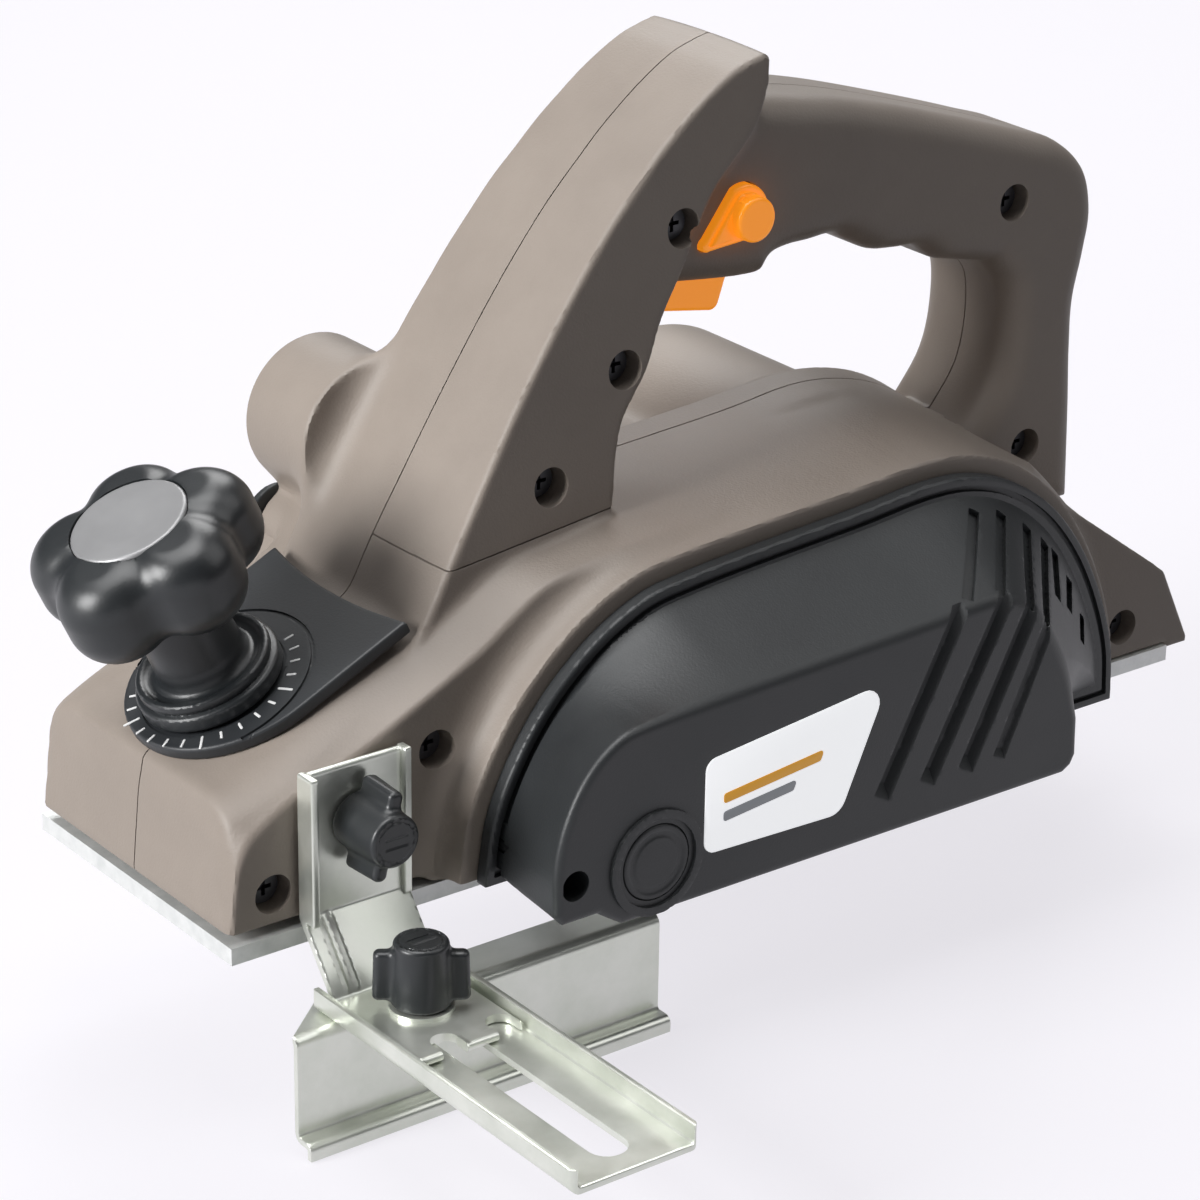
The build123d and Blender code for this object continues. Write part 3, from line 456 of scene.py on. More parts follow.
amber_finish = surface("potted_yellow", (0.45, 0.33, 0.04), (0.38, 0.28, 0.03), 0.35, grain=500, bump=0.1)

finish_of_slot = {
    "housing": housing_finish, "cover": cover_finish, "badge": None, "screw": black_steel_finish,
    "casting": casting_finish, "spring": steel_finish, "dial": dial_finish, "knob": knob_finish,
    "disc": disc_finish, "steel": steel_finish, "drum": drum_finish, "blade": blade_finish,
    "bearing": steel_finish, "belt": rubber_finish, "lamination": iron_finish, "copper": copper_finish,
    "fan": fan_finish, "brass": brass_finish, "carbon": carbon_finish, "orange": orange_glowing_finish,
    "switch": fan_finish, "capacitor": amber_finish, "gland": rubber_finish, "zinc": zinc_finish,
    "zinc_bolt": zinc_finish,
}
slot_of_node = {s["node"]: s["material_slot"] for s in frame["record"]["subparts"]}
for node, obj in frame["nodes"].items():
    material = finish_of_slot.get(slot_of_node.get(node)) or cover_finish
    obj.data.materials.clear()
    obj.data.materials.append(material)
    shaded(obj.data)

# ---- housing form -------------------------------------------------------------------
wall = 2.6
gap = 0.17
drum_x, drum_z = 56, 24
motor_x, motor_z = -49, 47.6
outlet_x, outlet_z = 60, 86
lug_x, lug_z = 71.0, 59.8
fence_x, side_knob_z, arm_knob_y = 113, 29, 70
bolt_clearance = 3.02
screw_hole, screw_recess, screw_boss = 1.95, 4.8, 6.4
tilt = radians(25.0)
knob_up = np.array((sin(tilt), 0, cos(tilt)))
knob_along = np.array((cos(tilt), 0, -sin(tilt)))
dial_point = np.array((122.2, 0, 48.1))

low_side = Outline(rounded(
    [(144.9, 6.6), (144.0, 16), (142.9, 27), (141.0, 36.5), (88, 64), (78, 74), (60, 78), (40, 78), (-92, 66),
     (-106, 52.3), (-138.6, 28.8), (-143.2, 25.2), (-153.3, 4.4), (-153.3, 3.0), (-145.6, 3.0), (-145.6, 4.5),
     (64, 4.5), (64, 6.6)], {0: 0.8, 2: 8, 3: 6, 10: 4, 11: 3, 12: 0.8}))
border_line = np.array(curve([(146, 2), (144.4, 7), (143.4, 15.8), (142.1, 22.9), (139.7, 27.6),
                              (135.7, 30.9), (130.9, 33.9), (125.5, 36.6), (114.8, 40.3), (104, 44.8),
                              (95, 49.3), (85.3, 54.0), (75.6, 58.8), (68.1, 63.8), (59.6, 69.3),
                              (53.4, 71.4), (46.2, 72.2), (36, 72.6)]))[::-1]
valley_line = np.array(curve([(146, 37), (134, 41.4), (118, 46.4), (102, 51.2), (95, 53.8), (85.9, 57.8),
                              (79.8, 62.2), (73.4, 66.6), (65.8, 71.2), (57.3, 73.8), (43.8, 75),
                              (36, 75.6)]))[::-1]
border_steep = np.gradient(border_line[:, 1], border_line[:, 0])
slab_front = [(92, 50), (84.9, 61.9), (77.8, 74.8), (70, 87.3), (59.6, 103.7), (47.9, 121), (38.8, 133.4),
              (28, 146.5), (18.8, 155.8), (13, 161.4), (1.5, 170.6), (-8, 176.4), (-14.5, 178.6)]
slab_rear = [(-20.5, 172), (-17, 163), (-3, 148), (6, 132), (13, 120), (17, 110), (25, 98), (28, 82),
             (30, 66), (31, 50)]
slab_side = Outline(rounded(curve(slab_front) + [(-21.2, 180.2)] + curve(slab_rear),
                            {len(slab_front) * 8 - 7: 4.5}))
grip_back = [(0, 158), (-12, 166.5), (-37, 164), (-53.7, 160.5), (-79.6, 153), (-106.6, 144.3), (-122, 138.6),
             (-131, 130.5), (-134.0, 119), (-132.5, 108), (-130, 96), (-130, 84), (-131, 66), (-132, 40)]
post_front = [(-88, 40), (-88, 61), (-96, 70), (-103, 80), (-105.5, 92), (-104.5, 104), (-99, 111)]
grip_under = [(-90, 113), (-82, 115), (-75, 119.5), (-68, 120.2), (-61, 121.2), (-54, 124.6), (-48, 127.6),
              (-40, 127.4), (-33, 127.2), (-28, 126), (-25, 122.6), (-21, 122.2), (0, 124.4), (14, 126.5)]
grip_half_width = 18.4
grip_side = Outline(curve(grip_back) + curve(post_front) + curve(grip_under, per_span=5))
rim_line = [(84.1, 4.5), (84.1, 7), (81.9, 21.5), (77.2, 32.8), (68.8, 45.7), (59, 55.6), (49.1, 62.6),
            (37.7, 67.7), (26, 69.6), (2.2, 71.7), (-25.4, 73.6), (-47.4, 75.6), (-60.3, 74.8), (-73.7, 70.6),
            (-87.8, 61.1), (-99.1, 47.7), (-107.3, 32.1), (-112.1, 17), (-113.2, 4.5)]
rim_side = Outline(curve(rim_line, per_span=5))


def shoulder(x, y, z):
    """Surface that falls from the foot of the slab to the crisp border of the flat sides."""
    border = np.interp(x, border_line[:, 0], border_line[:, 1])
    fall = (np.interp(x, valley_line[:, 0], valley_line[:, 1]) - border) / 11.0
    steep = np.interp(x, border_line[:, 0], border_steep)
    side = np.where(y < 0, -0.9 * y, y)
    return (z - border - fall * (41.0 - side)) / np.sqrt(1 + fall * fall + steep * steep)


def low_form(x, y, z):
    """Body below the handle: flat sides, tilted nose and the shoulder that runs up to the slab."""
    core = round_both(low_side(x, z), np.abs(y) - 41.0, 0.9)
    deck = plane(x, y, z, dial_point - 3.5 * knob_up, knob_up) - 0.35 * np.maximum(84 - x, 0)
    roof = round_both(deck, shoulder(x, y, z), 4.0)
    return round_both(core, roof, 1.1)


def boss_field(x, y, z):
    """Raised boss behind the belt cover, growing towards the middle of the tool."""
    grow = 4.0 + np.clip(50.0 - y, 0, 60) * 0.10
    side = rim_side(x, z) - grow
    ends = np.maximum(y - 50.0, -8.0 - y)
    floor = np.where(x > 64, 6.6, 4.5) - z
    return np.maximum(round_both(side, ends, 1.0), floor)


def barrel_field(x, y, z):
    return rod(x, y, z, motor_x, motor_z, 36.0, -61.9, 12.0, 6.0)


def bulge_field(x, y, z):
    """Far side bulge over the drum bearing, with the lug under the dust outlet."""
    arch = round_both(disc(x, z, 52, 36, 33.0), np.maximum(y, -50.5 - y), 0.8)
    block = box3(x, y, z, 18, 86, -50.5, 0, 0, 36, 1.0)
    lug = rod(x, y, z, lug_x, lug_z, 6.0, -50.6, -34, 0.8)
    return np.maximum(union(arch, block, lug), np.where(x > 64, 6.6, 4.5) - z)


def slab_field(x, y, z):
    half = np.interp(z, [40, 75, 106, 144, 182], [30.0, 29.2, 26.4, 24.0, 21.2]).astype(np.float32)
    sides = (np.abs(y) - half) * 0.995
    crown = slab_side(x, z) + 0.0012 * y * y
    return round_both(crown, sides, 1.3)


def grip_field(x, y, z):
    profile = grip_side(x, z)
    return round_both(profile, np.abs(y) - grip_half_width, 8.0)


def outlet_field(x, y, z):
    """Dust outlet tube and the neck under it."""
    tube = rod(x, y, z, outlet_x, outlet_z, 19.0, -52.9, -27.0, 0.8)
    neck = box3(x, y, z, 46, 67, -40, -27, 52, 86, 3.0)
    return blend_union(tube, neck, 5.0)


def low_outer(x, y, z):
    low = blend_union(low_form(x, y, z), boss_field(x, y, z), 7.0)
    low = blend_union(low, barrel_field(x, y, z), 3.0)
    return blend_union(low, bulge_field(x, y, z), 4.0)


def high_outer(x, y, z):
    return blend_union(slab_field(x, y, z), grip_field(x, y, z), 6.0)


def outer(x, y, z):
    body = blend_union(low_outer(x, y, z), high_outer(x, y, z), 2.0)
    return blend_union(body, outlet_field(x, y, z), 9.0)


joint_side = Outline([(165, 74.4), (75, 74.4), (28, 79.6), (-66, 79.6), (-86, 67), (-92, 66.4), (-109, 52.5),
                      (-145, 28), (-145, 225), (165, 225)])
screw_points = [(133.0, 14.0, 41.0), (88.5, 37.6, 41.0), (-129.0, 13.0, 41.0), (47.0, 88.0, 27.4),
                (24.5, 111.5, 25.8), (6.5, 142.0, 23.8), (-103.5, 127.0, 18.5), (-112.0, 60.0, 18.5)]
vent_pitch = 9.0


def screw_bosses(x, z):
    return union(*[disc(x, z, sx, sz, screw_boss) for sx, sz, _ in screw_points])


def openings(x, y, z):
    """Everything cut from the shells: screws, knob, trigger, drum, motor, outlet, cord inlet and vents."""
    holes = []
    for sx, sz, face in screw_points:
        holes.append(both(disc(x, z, sx, sz, screw_recess), face - 7.0 - y))
        holes.append(both(disc(x, z, sx, sz, screw_hole), -13.0 - y))
    along = (x - dial_point[0]) * knob_along[0] + (z - dial_point[2]) * knob_along[2]
    holes.append(both(np.hypot(along, y) - 6.0, 20.0 - z))
    holes.append(box3(x, y, z, -24, 3.5, -7.6, 7.6, 108, 131))
    holes.append(rod(x, y, z, drum_x, drum_z, 9.7, -60, 60))
    holes.append(rod(x, y, z, drum_x, drum_z, 25.5, -41.2, 41.2))
    holes.append(rod(x, y, z, 78, 15.8, screw_hole, 40, 60))
    holes.append(rod(x, y, z, motor_x, motor_z, 9.6, 38, 60))
    holes.append(rod(x, y, z, outlet_x, outlet_z, 16.2, -56, -29))
    holes.append(box3(x, y, z, 49, 64, -37, -29, 45, 84))
    holes.append(both(disc(y, z, 0, 112, 7.0), x + 126, -142 - x))
    vent = np.abs((z - motor_z + vent_pitch / 2) % vent_pitch - vent_pitch / 2) - 1.2
    ring = both(disc(x, z, motor_x, motor_z, 27.0), -disc(x, z, motor_x, motor_z, 15.0))
    holes.append(both(vent, ring, y + 60.4))
    return union(*holes)


def teardrop(x, z, grow):
    """Outline of the lock button's base."""
    ax, az, bx, bz = -15.0, 140.5, -4.0, 134.5
    dx, dz = bx - ax, bz - az
    t = np.clip(((x - ax) * dx + (z - az) * dz) / (dx * dx + dz * dz), 0, 1)
    return np.hypot(x - ax - t * dx, z - az - t * dz) - (7.2 + t * (1.5 - 7.2)) - grow


def shell(x, y, z):
    skin = outer(x, y, z)
    return skin, np.maximum(skin, -(skin + wall))


def right_field(x, y, z):
    skin, hollow = shell(x, y, z)
    bosses = both(skin, union(screw_bosses(x, z), both(disc(x, z, motor_x, motor_z, 12.5), y + 53.0)))
    return cut(np.maximum(union(hollow, bosses), y + gap), openings(x, y, z))


def left_field(x, y, z):
    skin, hollow = shell(x, y, z)
    inserts = both(disc(x, z, fence_x, side_knob_z, 8.0), 28 - y)
    bosses = both(skin, union(screw_bosses(x, z), inserts, both(disc(x, z, motor_x, motor_z, 12.5), 40 - y)))
    handle = both(high_outer(x, y, z), joint_side(x, z))
    body = cut(union(hollow, bosses), handle - gap)
    body = cut(body, rod(x, y, z, fence_x, side_knob_z, 5.0, 20, 60))
    return cut(np.maximum(body, gap - y), openings(x, y, z))


def handle_field(x, y, z):
    skin, hollow = shell(x, y, z)
    bosses = both(skin, screw_bosses(x, z))
    body = both(union(hollow, bosses), high_outer(x, y, z), joint_side(x, z) + gap)
    body = cut(np.maximum(body, gap - y), openings(x, y, z))
    return cut(body, both(teardrop(x, z, 0.35), 12.0 - y))


moulded("right_housing_shell", right_field, (-154, -62.5, 2), (146, 0.5, 182), COARSE, "housing", "housing",
        housing_finish, ["right_housing"])
moulded("left_housing_shell", left_field, (-154, -0.5, 2), (146, 51, 92), COARSE, "housing", "housing",
        housing_finish, ["left_housing"])
moulded("left_handle_cover", handle_field, (-136, -0.5, 30), (92, 31, 182), COARSE, "housing", "housing",
        housing_finish, ["left_handle_shell"])

# ---- knob and dial -------------------------------------------------------------------
def knob_frame(x, y, z):
    """Along, across and up in the knob's own frame."""
    dx, dz = x - dial_point[0], z - dial_point[2]
    return dx * knob_along[0] + dz * knob_along[2], y, dx * knob_up[0] + dz * knob_up[2]


knob_profile = Outline([(-4, 0.4), (17.0, 0.4), (17.6, 1.0), (17.6, 4.1), (16.9, 4.6), (16.0, 4.7),
                        (16.0, 5.0), (16.4, 5.2), (16.4, 6.9), (15.9, 7.4), (14.9, 7.4), (13.9, 6.5),
                        (12.4, 6.2), (11.5, 6.8), (11.0, 8.2), (10.7, 11), (10.5, 24), (11.0, 27), (12, 31),
                        (-4, 31)])
knob_lobes = 5
lobe_turn = radians(24)
lobe_middle, lobe_radius = 15.2, 12.2


def knob_field(x, y, z):
    """Depth knob: a lobed head on a waisted neck and stepped collar, bored for its spindle."""
    a, b, t = knob_frame(x, y, z)
    r = np.hypot(a, b)
    angle = (np.arctan2(b, a) - lobe_turn + pi) % (2 * pi / knob_lobes) - pi / knob_lobes
    spread = np.abs(angle) - 2 * pi / knob_lobes
    lobe, other = (np.hypot(r * np.cos(q) - lobe_middle, r * np.sin(q)) - lobe_radius
                   for q in (angle, spread))
    head = blend_union(blend_union(lobe, other, 5.0), r - 16, 3.0)
    crown = t - 50.4 + 0.0030 * r * r
    head = round_both(round_both(head, crown, 8.0), 26.0 - t, 9.5)
    head = np.maximum(head, -np.maximum(r - 14.25, 48.2 - t))
    body = blend_union(head, knob_profile(r, t), 1.6)
    return np.maximum(body, -np.maximum(r - bolt_clearance, t - 23.0))


disc_profile = Outline([(-3, 48.2), (13.6, 48.2), (14.05, 48.6), (14.05, 49.2), (13.5, 49.75), (12.9, 49.8),
                        (8, 50.0), (-3, 50.1)])


def disc_field(x, y, z):
    a, b, t = knob_frame(x, y, z)
    return disc_profile(np.hypot(a, b), t)


plate_rear = -(dial_point[0] - 88) / cos(tilt)
plate_outline = [(plate_rear - 0.6, -27.6)]
plate_outline += [(-6.3 + 27.6 * cos(q), 27.6 * sin(q)) for q in np.linspace(-pi / 2, pi / 2, 41)]
plate_outline += [(plate_rear - 0.6, 27.6)]
plate_outline += [(plate_rear + 2.2 - 2.8 * (q / 27) ** 2, q) for q in np.linspace(26.5, -26.5, 21)]
plate_side = Outline(plate_outline)


def dial_field(x, y, z):
    """Dial plate with a shallow well under the knob and an arc cut round the scale."""
    a, b, t = knob_frame(x, y, z)
    r = np.hypot(a, b)
    thick = span(t, -3.42, -0.02)
    plate = np.maximum(round_both(plate_side(a, b), thick, 0.8), -(r - 8.2))
    groove = np.maximum(np.abs(r - 24.4) - 0.45, -t - 0.62)
    groove = np.maximum(groove, a - 8)
    well = np.maximum(r - 17.9, -t - 0.5)
    return cut(cut(plate, groove), well)


def box_ids(name, pad=0.6):
    lo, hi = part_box(name)
    return tuple(v / MM - pad for v in lo), tuple(v / MM + pad for v in hi)


fine = 0.5
moulded("depth_knob_lobed", knob_field, *box_ids("depth_knob", 1.2), fine, "depth_knob", "knob", knob_finish,
        ["depth_knob"])
moulded("knob_disc_inlay", disc_field, *box_ids("knob_disc", 1.0), fine * 0.8, "depth_knob", "disc",
        disc_finish, ["knob_disc"], angle=50)
moulded("dial_plate", dial_field, *box_ids("depth_dial", 2.0), fine * 0.8, "housing", "dial", dial_finish,
        ["depth_dial"])


def prism(outline, height, bevel, steps=2):
    """Solid with the given outline, its upper edge rounded over. Points are (u, v, up)."""
    n = len(outline)
    pts = np.array(outline, float)
    ahead, behind = np.roll(pts, -1, 0) - pts, pts - np.roll(pts, 1, 0)
    area = 0.5 * np.sum(pts[:, 0] * np.roll(pts[:, 1], -1) - np.roll(pts[:, 0], -1) * pts[:, 1])
    if area < 0:
        pts = pts[::-1]
        ahead, behind = np.roll(pts, -1, 0) - pts, pts - np.roll(pts, 1, 0)
    normal = []
    for f, g in zip(ahead, behind):
        f, g = f / np.linalg.norm(f), g / np.linalg.norm(g)
        out = np.array((f[1] + g[1], -f[0] - g[0]))
        out /= np.linalg.norm(out)
        normal.append(out / max(0.4, out @ np.array((f[1], -f[0]))))
    normal = np.array(normal)
    rings = [(0.0, 0.0)]
    for s in np.linspace(0, pi / 2, steps + 1):
        rings.append((bevel * (1 - cos(s)), height - bevel + bevel * sin(s)))
    verts = []
    for inset, up in rings:
        moved = pts - inset * normal
        verts += [(u, v, up) for u, v in moved]
    faces = []
    for k in range(len(rings) - 1):
        for i in range(n):
            j = (i + 1) % n
            faces.append((k * n + i, k * n + j, (k + 1) * n + j, (k + 1) * n + i))
    faces.append(tuple(range(n))[::-1])
    faces.append(tuple(range((len(rings) - 1) * n, len(rings) * n)))
    return verts, faces


def built(name, parts, place, body, material, nodes=(), angle=40):
    """One piece from several prisms; place turns (u, v, up) into the model's frame."""
    verts, faces = [], []
    for v, f in parts:
        start = len(verts)
        verts += [tuple(np.array(place(*p)) * MM) for p in v]
        faces += [tuple(i + start for i in face) for face in f]
    mesh = bpy.data.meshes.new(name)
    mesh.from_pydata(verts, [], faces)
    tidy = bmesh.new()
    tidy.from_mesh(mesh)
    bmesh.ops.recalc_face_normals(tidy, faces=tidy.faces)
    tidy.to_mesh(mesh)
    tidy.free()
    new_piece(mesh, body, material, nodes, angle)


white_finish = surface("white_print", (0.80, 0.80, 0.80), (0.70, 0.70, 0.70), 0.5, grain=900, bump=0.1)
tick_angles = [-47.5, -34.5, -21, -7.5, 6, 20, 33.5, 47, 60.5, 74, 87, 100, 113, 126.5, 140, 153.5, 167]
tick_half = 0.32
ticks = []
for number, angle in enumerate(tick_angles):
    inner, outer_end = (18.6, 22.8) if number % 5 == 2 else (18.9, 21.4)
    q = radians(angle)
    bar = [(inner, -tick_half), (outer_end, -tick_half), (outer_end, tick_half), (inner, tick_half)]
    bar = rounded(bar, 0.25, 4)
    bar = [(u * cos(q) - v * sin(q), u * sin(q) + v * cos(q)) for u, v in bar]
    ticks.append(prism(bar, 0.25, 0.08))


def on_dial(u, v, up):
    p = dial_point + knob_along * u + knob_up * (up - 0.12)
    return p[0], v, p[2]


built("dial_scale", ticks, on_dial, "housing", white_finish)

# ---- belt cover -----------------------------------------------------------------------
cover_rim = Outline([(66, 1.6), (72, 6.2), (84.1, 6.2)] + curve([(84.0, 9)] + rim_line[2:], per_span=5)
                    + [(-113.2, 1.6)])
cover_face = Outline([(64, 1.6), (71, 6.2), (81.0, 6.2)]
                     + curve([(82.9, 9), (83.2, 19), (81.4, 28.8), (77, 38.4), (71.3, 45), (64, 49.2),
                              (56, 50.3)], per_span=5)
                     + [(14, 52)]
                     + curve([(-30, 53.9), (-44, 54.6), (-50, 54.2), (-56.5, 51.4), (-62, 46.4),
                              (-66.6, 39.4), (-72.6, 27.2), (-76.2, 15.4)], per_span=5)
                     + [(-76.8, 6), (-75.4, 3.2), (-72.6, 1.6)])
cover_plane = 80.0
cap_point = (55.0, 15.2)
cover_hole = (78.3, 15.8)
face_grooves = [((-36.8, 57.5), (-12.6, 11.5), 1.0), ((-50.1, 54.5), (-26.9, 11.5), 1.0),
                ((-58.6, 49.5), (-39.2, 11.5), 1.0), ((-64.4, 43.5), (-50.0, 12.0), 0.6)]
wall_grooves = [((-39.3, 78, 56.5), (-58.5, 57.5, 67.5)), ((-49.3, 78, 55.2), (-67.6, 57.5, 64.8)),
                ((-59, 78, 49.7), (-76.2, 57.5, 58.8)), ((-64.6, 78, 43.2), (-82.6, 57.5, 53.4)),
                ((-79.0, 66.5, 41.5), (-87.0, 57.5, 50.4)), ((-86.2, 63, 35.0), (-92.2, 57.5, 41.4)),
                ((-93.5, 60.5, 24.0), (-97.2, 57.3, 30.0))]


def cover_form(x, y, z):
    """Closed outer form of the cover: flange, flank and face."""
    s = (y - 52.0) / (cover_plane - 52.0)
    rim = cover_rim(x, z)
    flank = ((rim + 3.2) * (1 - s) + cover_face(x, z) * s) * 0.86
    body = round_both(np.maximum(flank, 50.2 - y), y - cover_plane, 1.8)
    flange = round_both(rim, span(y, 50.2, 54.4), 0.9)
    gutter = both(np.abs(rim + 2.9) - 0.75, 53.0 - y, y - 55.6)
    return cut(union(body, flange), gutter), body


def cover_field(x, y, z):
    """Hollow belt cover with its grooves, slots, screw post and the ring round the cap."""
    form, body = cover_form(x, y, z)
    inner = body + np.where(x < -30, 3.6, 2.2)
    for (ax, az), (bx, bz), depth in face_grooves:
        dx, dz = bx - ax, bz - az
        length = sqrt(dx * dx + dz * dz)
        along = ((x - ax) * dx + (z - az) * dz) / length
        across = ((x - ax) * dz - (z - az) * dx) / length
        floor = cover_plane - y - 2.4 * depth + np.clip(np.abs(across) - 1.2, 0, 9) * 1.5
        channel = both(np.abs(across) - 3.4, floor, -8 - along, along - length)
        end = (along - length + 3.0) * 0.6 + 0.8 * (cover_plane - y - 2.4)
        form = cut(form, both(channel, end + 0.4))
    for a, b in wall_grooves:
        a, b = np.array(a), np.array(b)
        run = b - a
        length = np.linalg.norm(run)
        run = run / length
        side = np.cross(run, (0, 0.5, 0.85))
        side /= np.linalg.norm(side)
        along = (x - a[0]) * run[0] + (y - a[1]) * run[1] + (z - a[2]) * run[2]
        across = np.abs((x - a[0]) * side[0] + (y - a[1]) * side[1] + (z - a[2]) * side[2])
        slot = both(across - 1.5, -(body + 1.7), -along, along - length)
        form = cut(form, slot)
    form = cut(form, np.maximum(inner, y - np.where((x > -72) & (x < -5), 75.0, 77.8)))
    post = both(disc(x, z, *cover_hole, 5.4), body + 0.2)
    form = union(form, post)
    form = cut(form, both(disc(x, z, cover_hole[0] - 0.5, cover_hole[1], 3.7), 68.0 - y, x - 81.3))
    form = cut(form, disc(x, z, *cover_hole, 2.1))
    ring_r = disc(x, z, *cap_point, 0)
    ring = round_both(np.abs(ring_r - 12.0) - 1.1, span(y, 78, 81.0), 0.5)
    form = union(form, np.maximum(ring, 1.6 - z))
    form = cut(form, both(ring_r - 9.5, 74.8 - y))
    return form


moulded("belt_cover_shell", cover_field, (-114, 49.8, 1.0), (85, 81.4, 77), 0.6,
        "housing", "cover", cover_finish, ["belt_cover"])

side_arch = Outline([(84, 36)]
                    + [(54 + 30 * cos(q), 36 + 30 * sin(q)) for q in np.linspace(0.04, pi - 0.04, 40)]
                    + [(24, 36), (24, 8), (84, 8)])


def side_cover_field(x, y, z):
    """Far side cover: a raised panel, a rim, three ribs and the ear round the lug."""
    arch = side_arch(x, z)
    plate = round_both(arch, span(y, -54.2, -50.8), 1.1)
    plate = cut(plate, both(arch + 4.0, y + 53.2))
    ribs = np.minimum(np.abs(z - 20), np.minimum(np.abs(z - 30), np.abs(z - 40))) - 1.2
    ribs = both(ribs, arch + 7, -54.0 - y, y + 52)
    ear = rod(x, y, z, lug_x, lug_z, 8.8, -53.0, -50.8, 0.6)
    return union(plate, ear, ribs)


moulded("side_cover_panel", side_cover_field, *box_ids("side_cover", 0.8), fine, "housing", "cover",
        cover_finish, ["side_cover"])

cap_profile = Outline([(-3, 77.6), (9.3, 77.6), (9.4, 77.8), (9.4, 79.9), (9.0, 80.3), (8.0, 80.3),
                       (7.8, 80.0), (6.4, 80.0), (6.2, 80.25), (-3, 80.35)])


def cap_field(x, y, z):
    return cap_profile(np.hypot(x - cap_point[0], z - cap_point[1]), y)


moulded("cover_cap_disc", cap_field, (44, 77, 4), (66, 81.2, 26), fine * 0.8, "housing", "cover",
        cover_finish, ["cover_cap"])

# The badge's white plate and its orange and grey stripes glow in their own colours: painted light that keeps
# the label bright on the shaded side.
badge_glowing_finish = surface("badge_white_self_lit", (0.92, 0.93, 0.95), (0.89, 0.90, 0.92), 0.3, grain=500, bump=0.03,
                       colour_scale=12, glow=0.70)
badge_orange_self_lit = surface("badge_orange_self_lit", (0.92, 0.44, 0.03), (0.88, 0.40, 0.025), 0.35, grain=500, bump=0.03,
                       glow=0.3)
badge_grey_self_lit = surface("badge_grey_self_lit", (0.36, 0.38, 0.41), (0.32, 0.34, 0.37), 0.35, grain=500, bump=0.03,
                     glow=0.2)
badge_outline = rounded([(41.2, 36.6), (-12.9, 42.4), (0.4, 11.9), (41.2, 13.0)], [3.2, 4.0, 5.0, 3.0])


def on_cover(u, v, up):
    return u, cover_plane + up, v


built("cover_badge_plate", [prism(badge_outline, 0.45, 0.15)], on_cover, "housing", badge_glowing_finish,
      ["cover_badge"])
stripes = [[(36, 27.2), (6, 30.4), (7.2, 27.6), (36, 24.6)],
           [(36, 22.6), (14, 24.9), (15.2, 22.2), (36, 20.0)]]
built("badge_stripes_grey", [prism(rounded(stripes[1], 0.8), 0.55, 0.05)], on_cover, "housing",
      badge_grey_self_lit)
built("badge_stripes_orange", [prism(rounded(stripes[0], 0.8), 0.55, 0.05)], on_cover, "housing",
      badge_orange_self_lit)

# ---- trigger and lock button ---------------------------------------------------------------
trigger_side = Outline(rounded([(3, 133.4), (-21, 133.8), (-22, 124), (-18, 112.2), (0.2, 115.4),
                                (-1.6, 121.5), (2.4, 126.8)], [0.5, 0.5, 1, 2.4, 2.2, 4, 1]))


def trigger_field(x, y, z):
    body = round_both(trigger_side(x, z), np.abs(y) - 6.9, 1.0)
    return cut(body, disc(x, z, 0, 130.8, 1.55))


moulded("trigger_lever", trigger_field, (-23, -7.5, 111), (4, 7.5, 135), fine, "trigger", "orange",
        orange_glowing_finish, ["trigger"])


def lock_field(x, y, z):
    base = round_both(teardrop(x, z, 0), span(y, 11.1, 20.2), 0.7)
    top = round_both(disc(x, z, -15.5, 140, 5.5), span(y, 11.5, 24.3), 0.8)
    lip = round_both(teardrop(x, z, -1.6), span(y, 11.1, 21.2), 0.6)
    return union(base, top, lip)


moulded("lock_button_cap", lock_field, (-23, 10.5, 132), (-1, 25, 149), fine * 0.8, "lock_button", "orange",
        orange_glowing_finish, ["lock_button"])

# ---- fence -------------------------------------------------------------------------------
def path_distance(u, v, points):
    """Distance to a line through points in a plane."""
    best = np.full(np.shape(u), 1e9)
    for (au, av), (bu, bv) in zip(points[:-1], points[1:]):
        du, dv = bu - au, bv - av
        t = np.clip(((u - au) * du + (v - av) * dv) / max(du * du + dv * dv, 1e-9), 0, 1)
        best = np.minimum(best, np.hypot(u - au - t * du, v - av - t * dv))
    return best


def bend(points, radii):
    """Open line with its inner corners bent to a radius."""
    return rounded(points, [0] + list(radii) + [0], 6)


bracket_path = bend([(43.4, 41.9), (43.4, 7.2), (56.4, -9.0), (89, -9.0)], [2.0, 2.5])


def bracket_field(x, y, z):
    """Bent bracket: edge flanges on the upright, pressed ribs down the slope, notches at the end."""
    off = path_distance(y, z, bracket_path)
    corner = round_both(span(x, 98.7, 127.3), np.maximum(np.maximum(z - 43, y - 90), -12 - z), 2.0)
    rib = np.clip(0.9 - np.minimum(np.abs(x - 123.4), np.abs(x - 120.6)), 0, 0.9)
    fade = np.clip((8.0 - z) / 2.0, 0, 1) * np.clip((z + 7.5) / 2.0, 0, 1)
    body = round_both(off - 1.0 - 0.7 * rib * fade, corner, 0.3)
    front = box3(x, y, z, 125.3, 127.3, 42.4, 48.4, 6.5, 43, 0.5)
    rear = box3(x, y, z, 98.7, 100.7, 42.4, 46.0, 6.5, 43, 0.5)
    body = union(body, front, rear)
    body = cut(body, both(disc(x, z, fence_x, side_knob_z, 3.2), 40 - y))
    body = cut(body, both(disc(x, y, fence_x, arm_knob_y, 3.2), z + 5))
    for cx in (102.5, 117.5):
        notch = union(disc(x, y, cx, 85.6, 3.4), box3(x, y, z, cx - 3.4, cx + 3.4, 85.6, 95, -15, 0))
        body = cut(body, both(notch, z + 6))
    return body


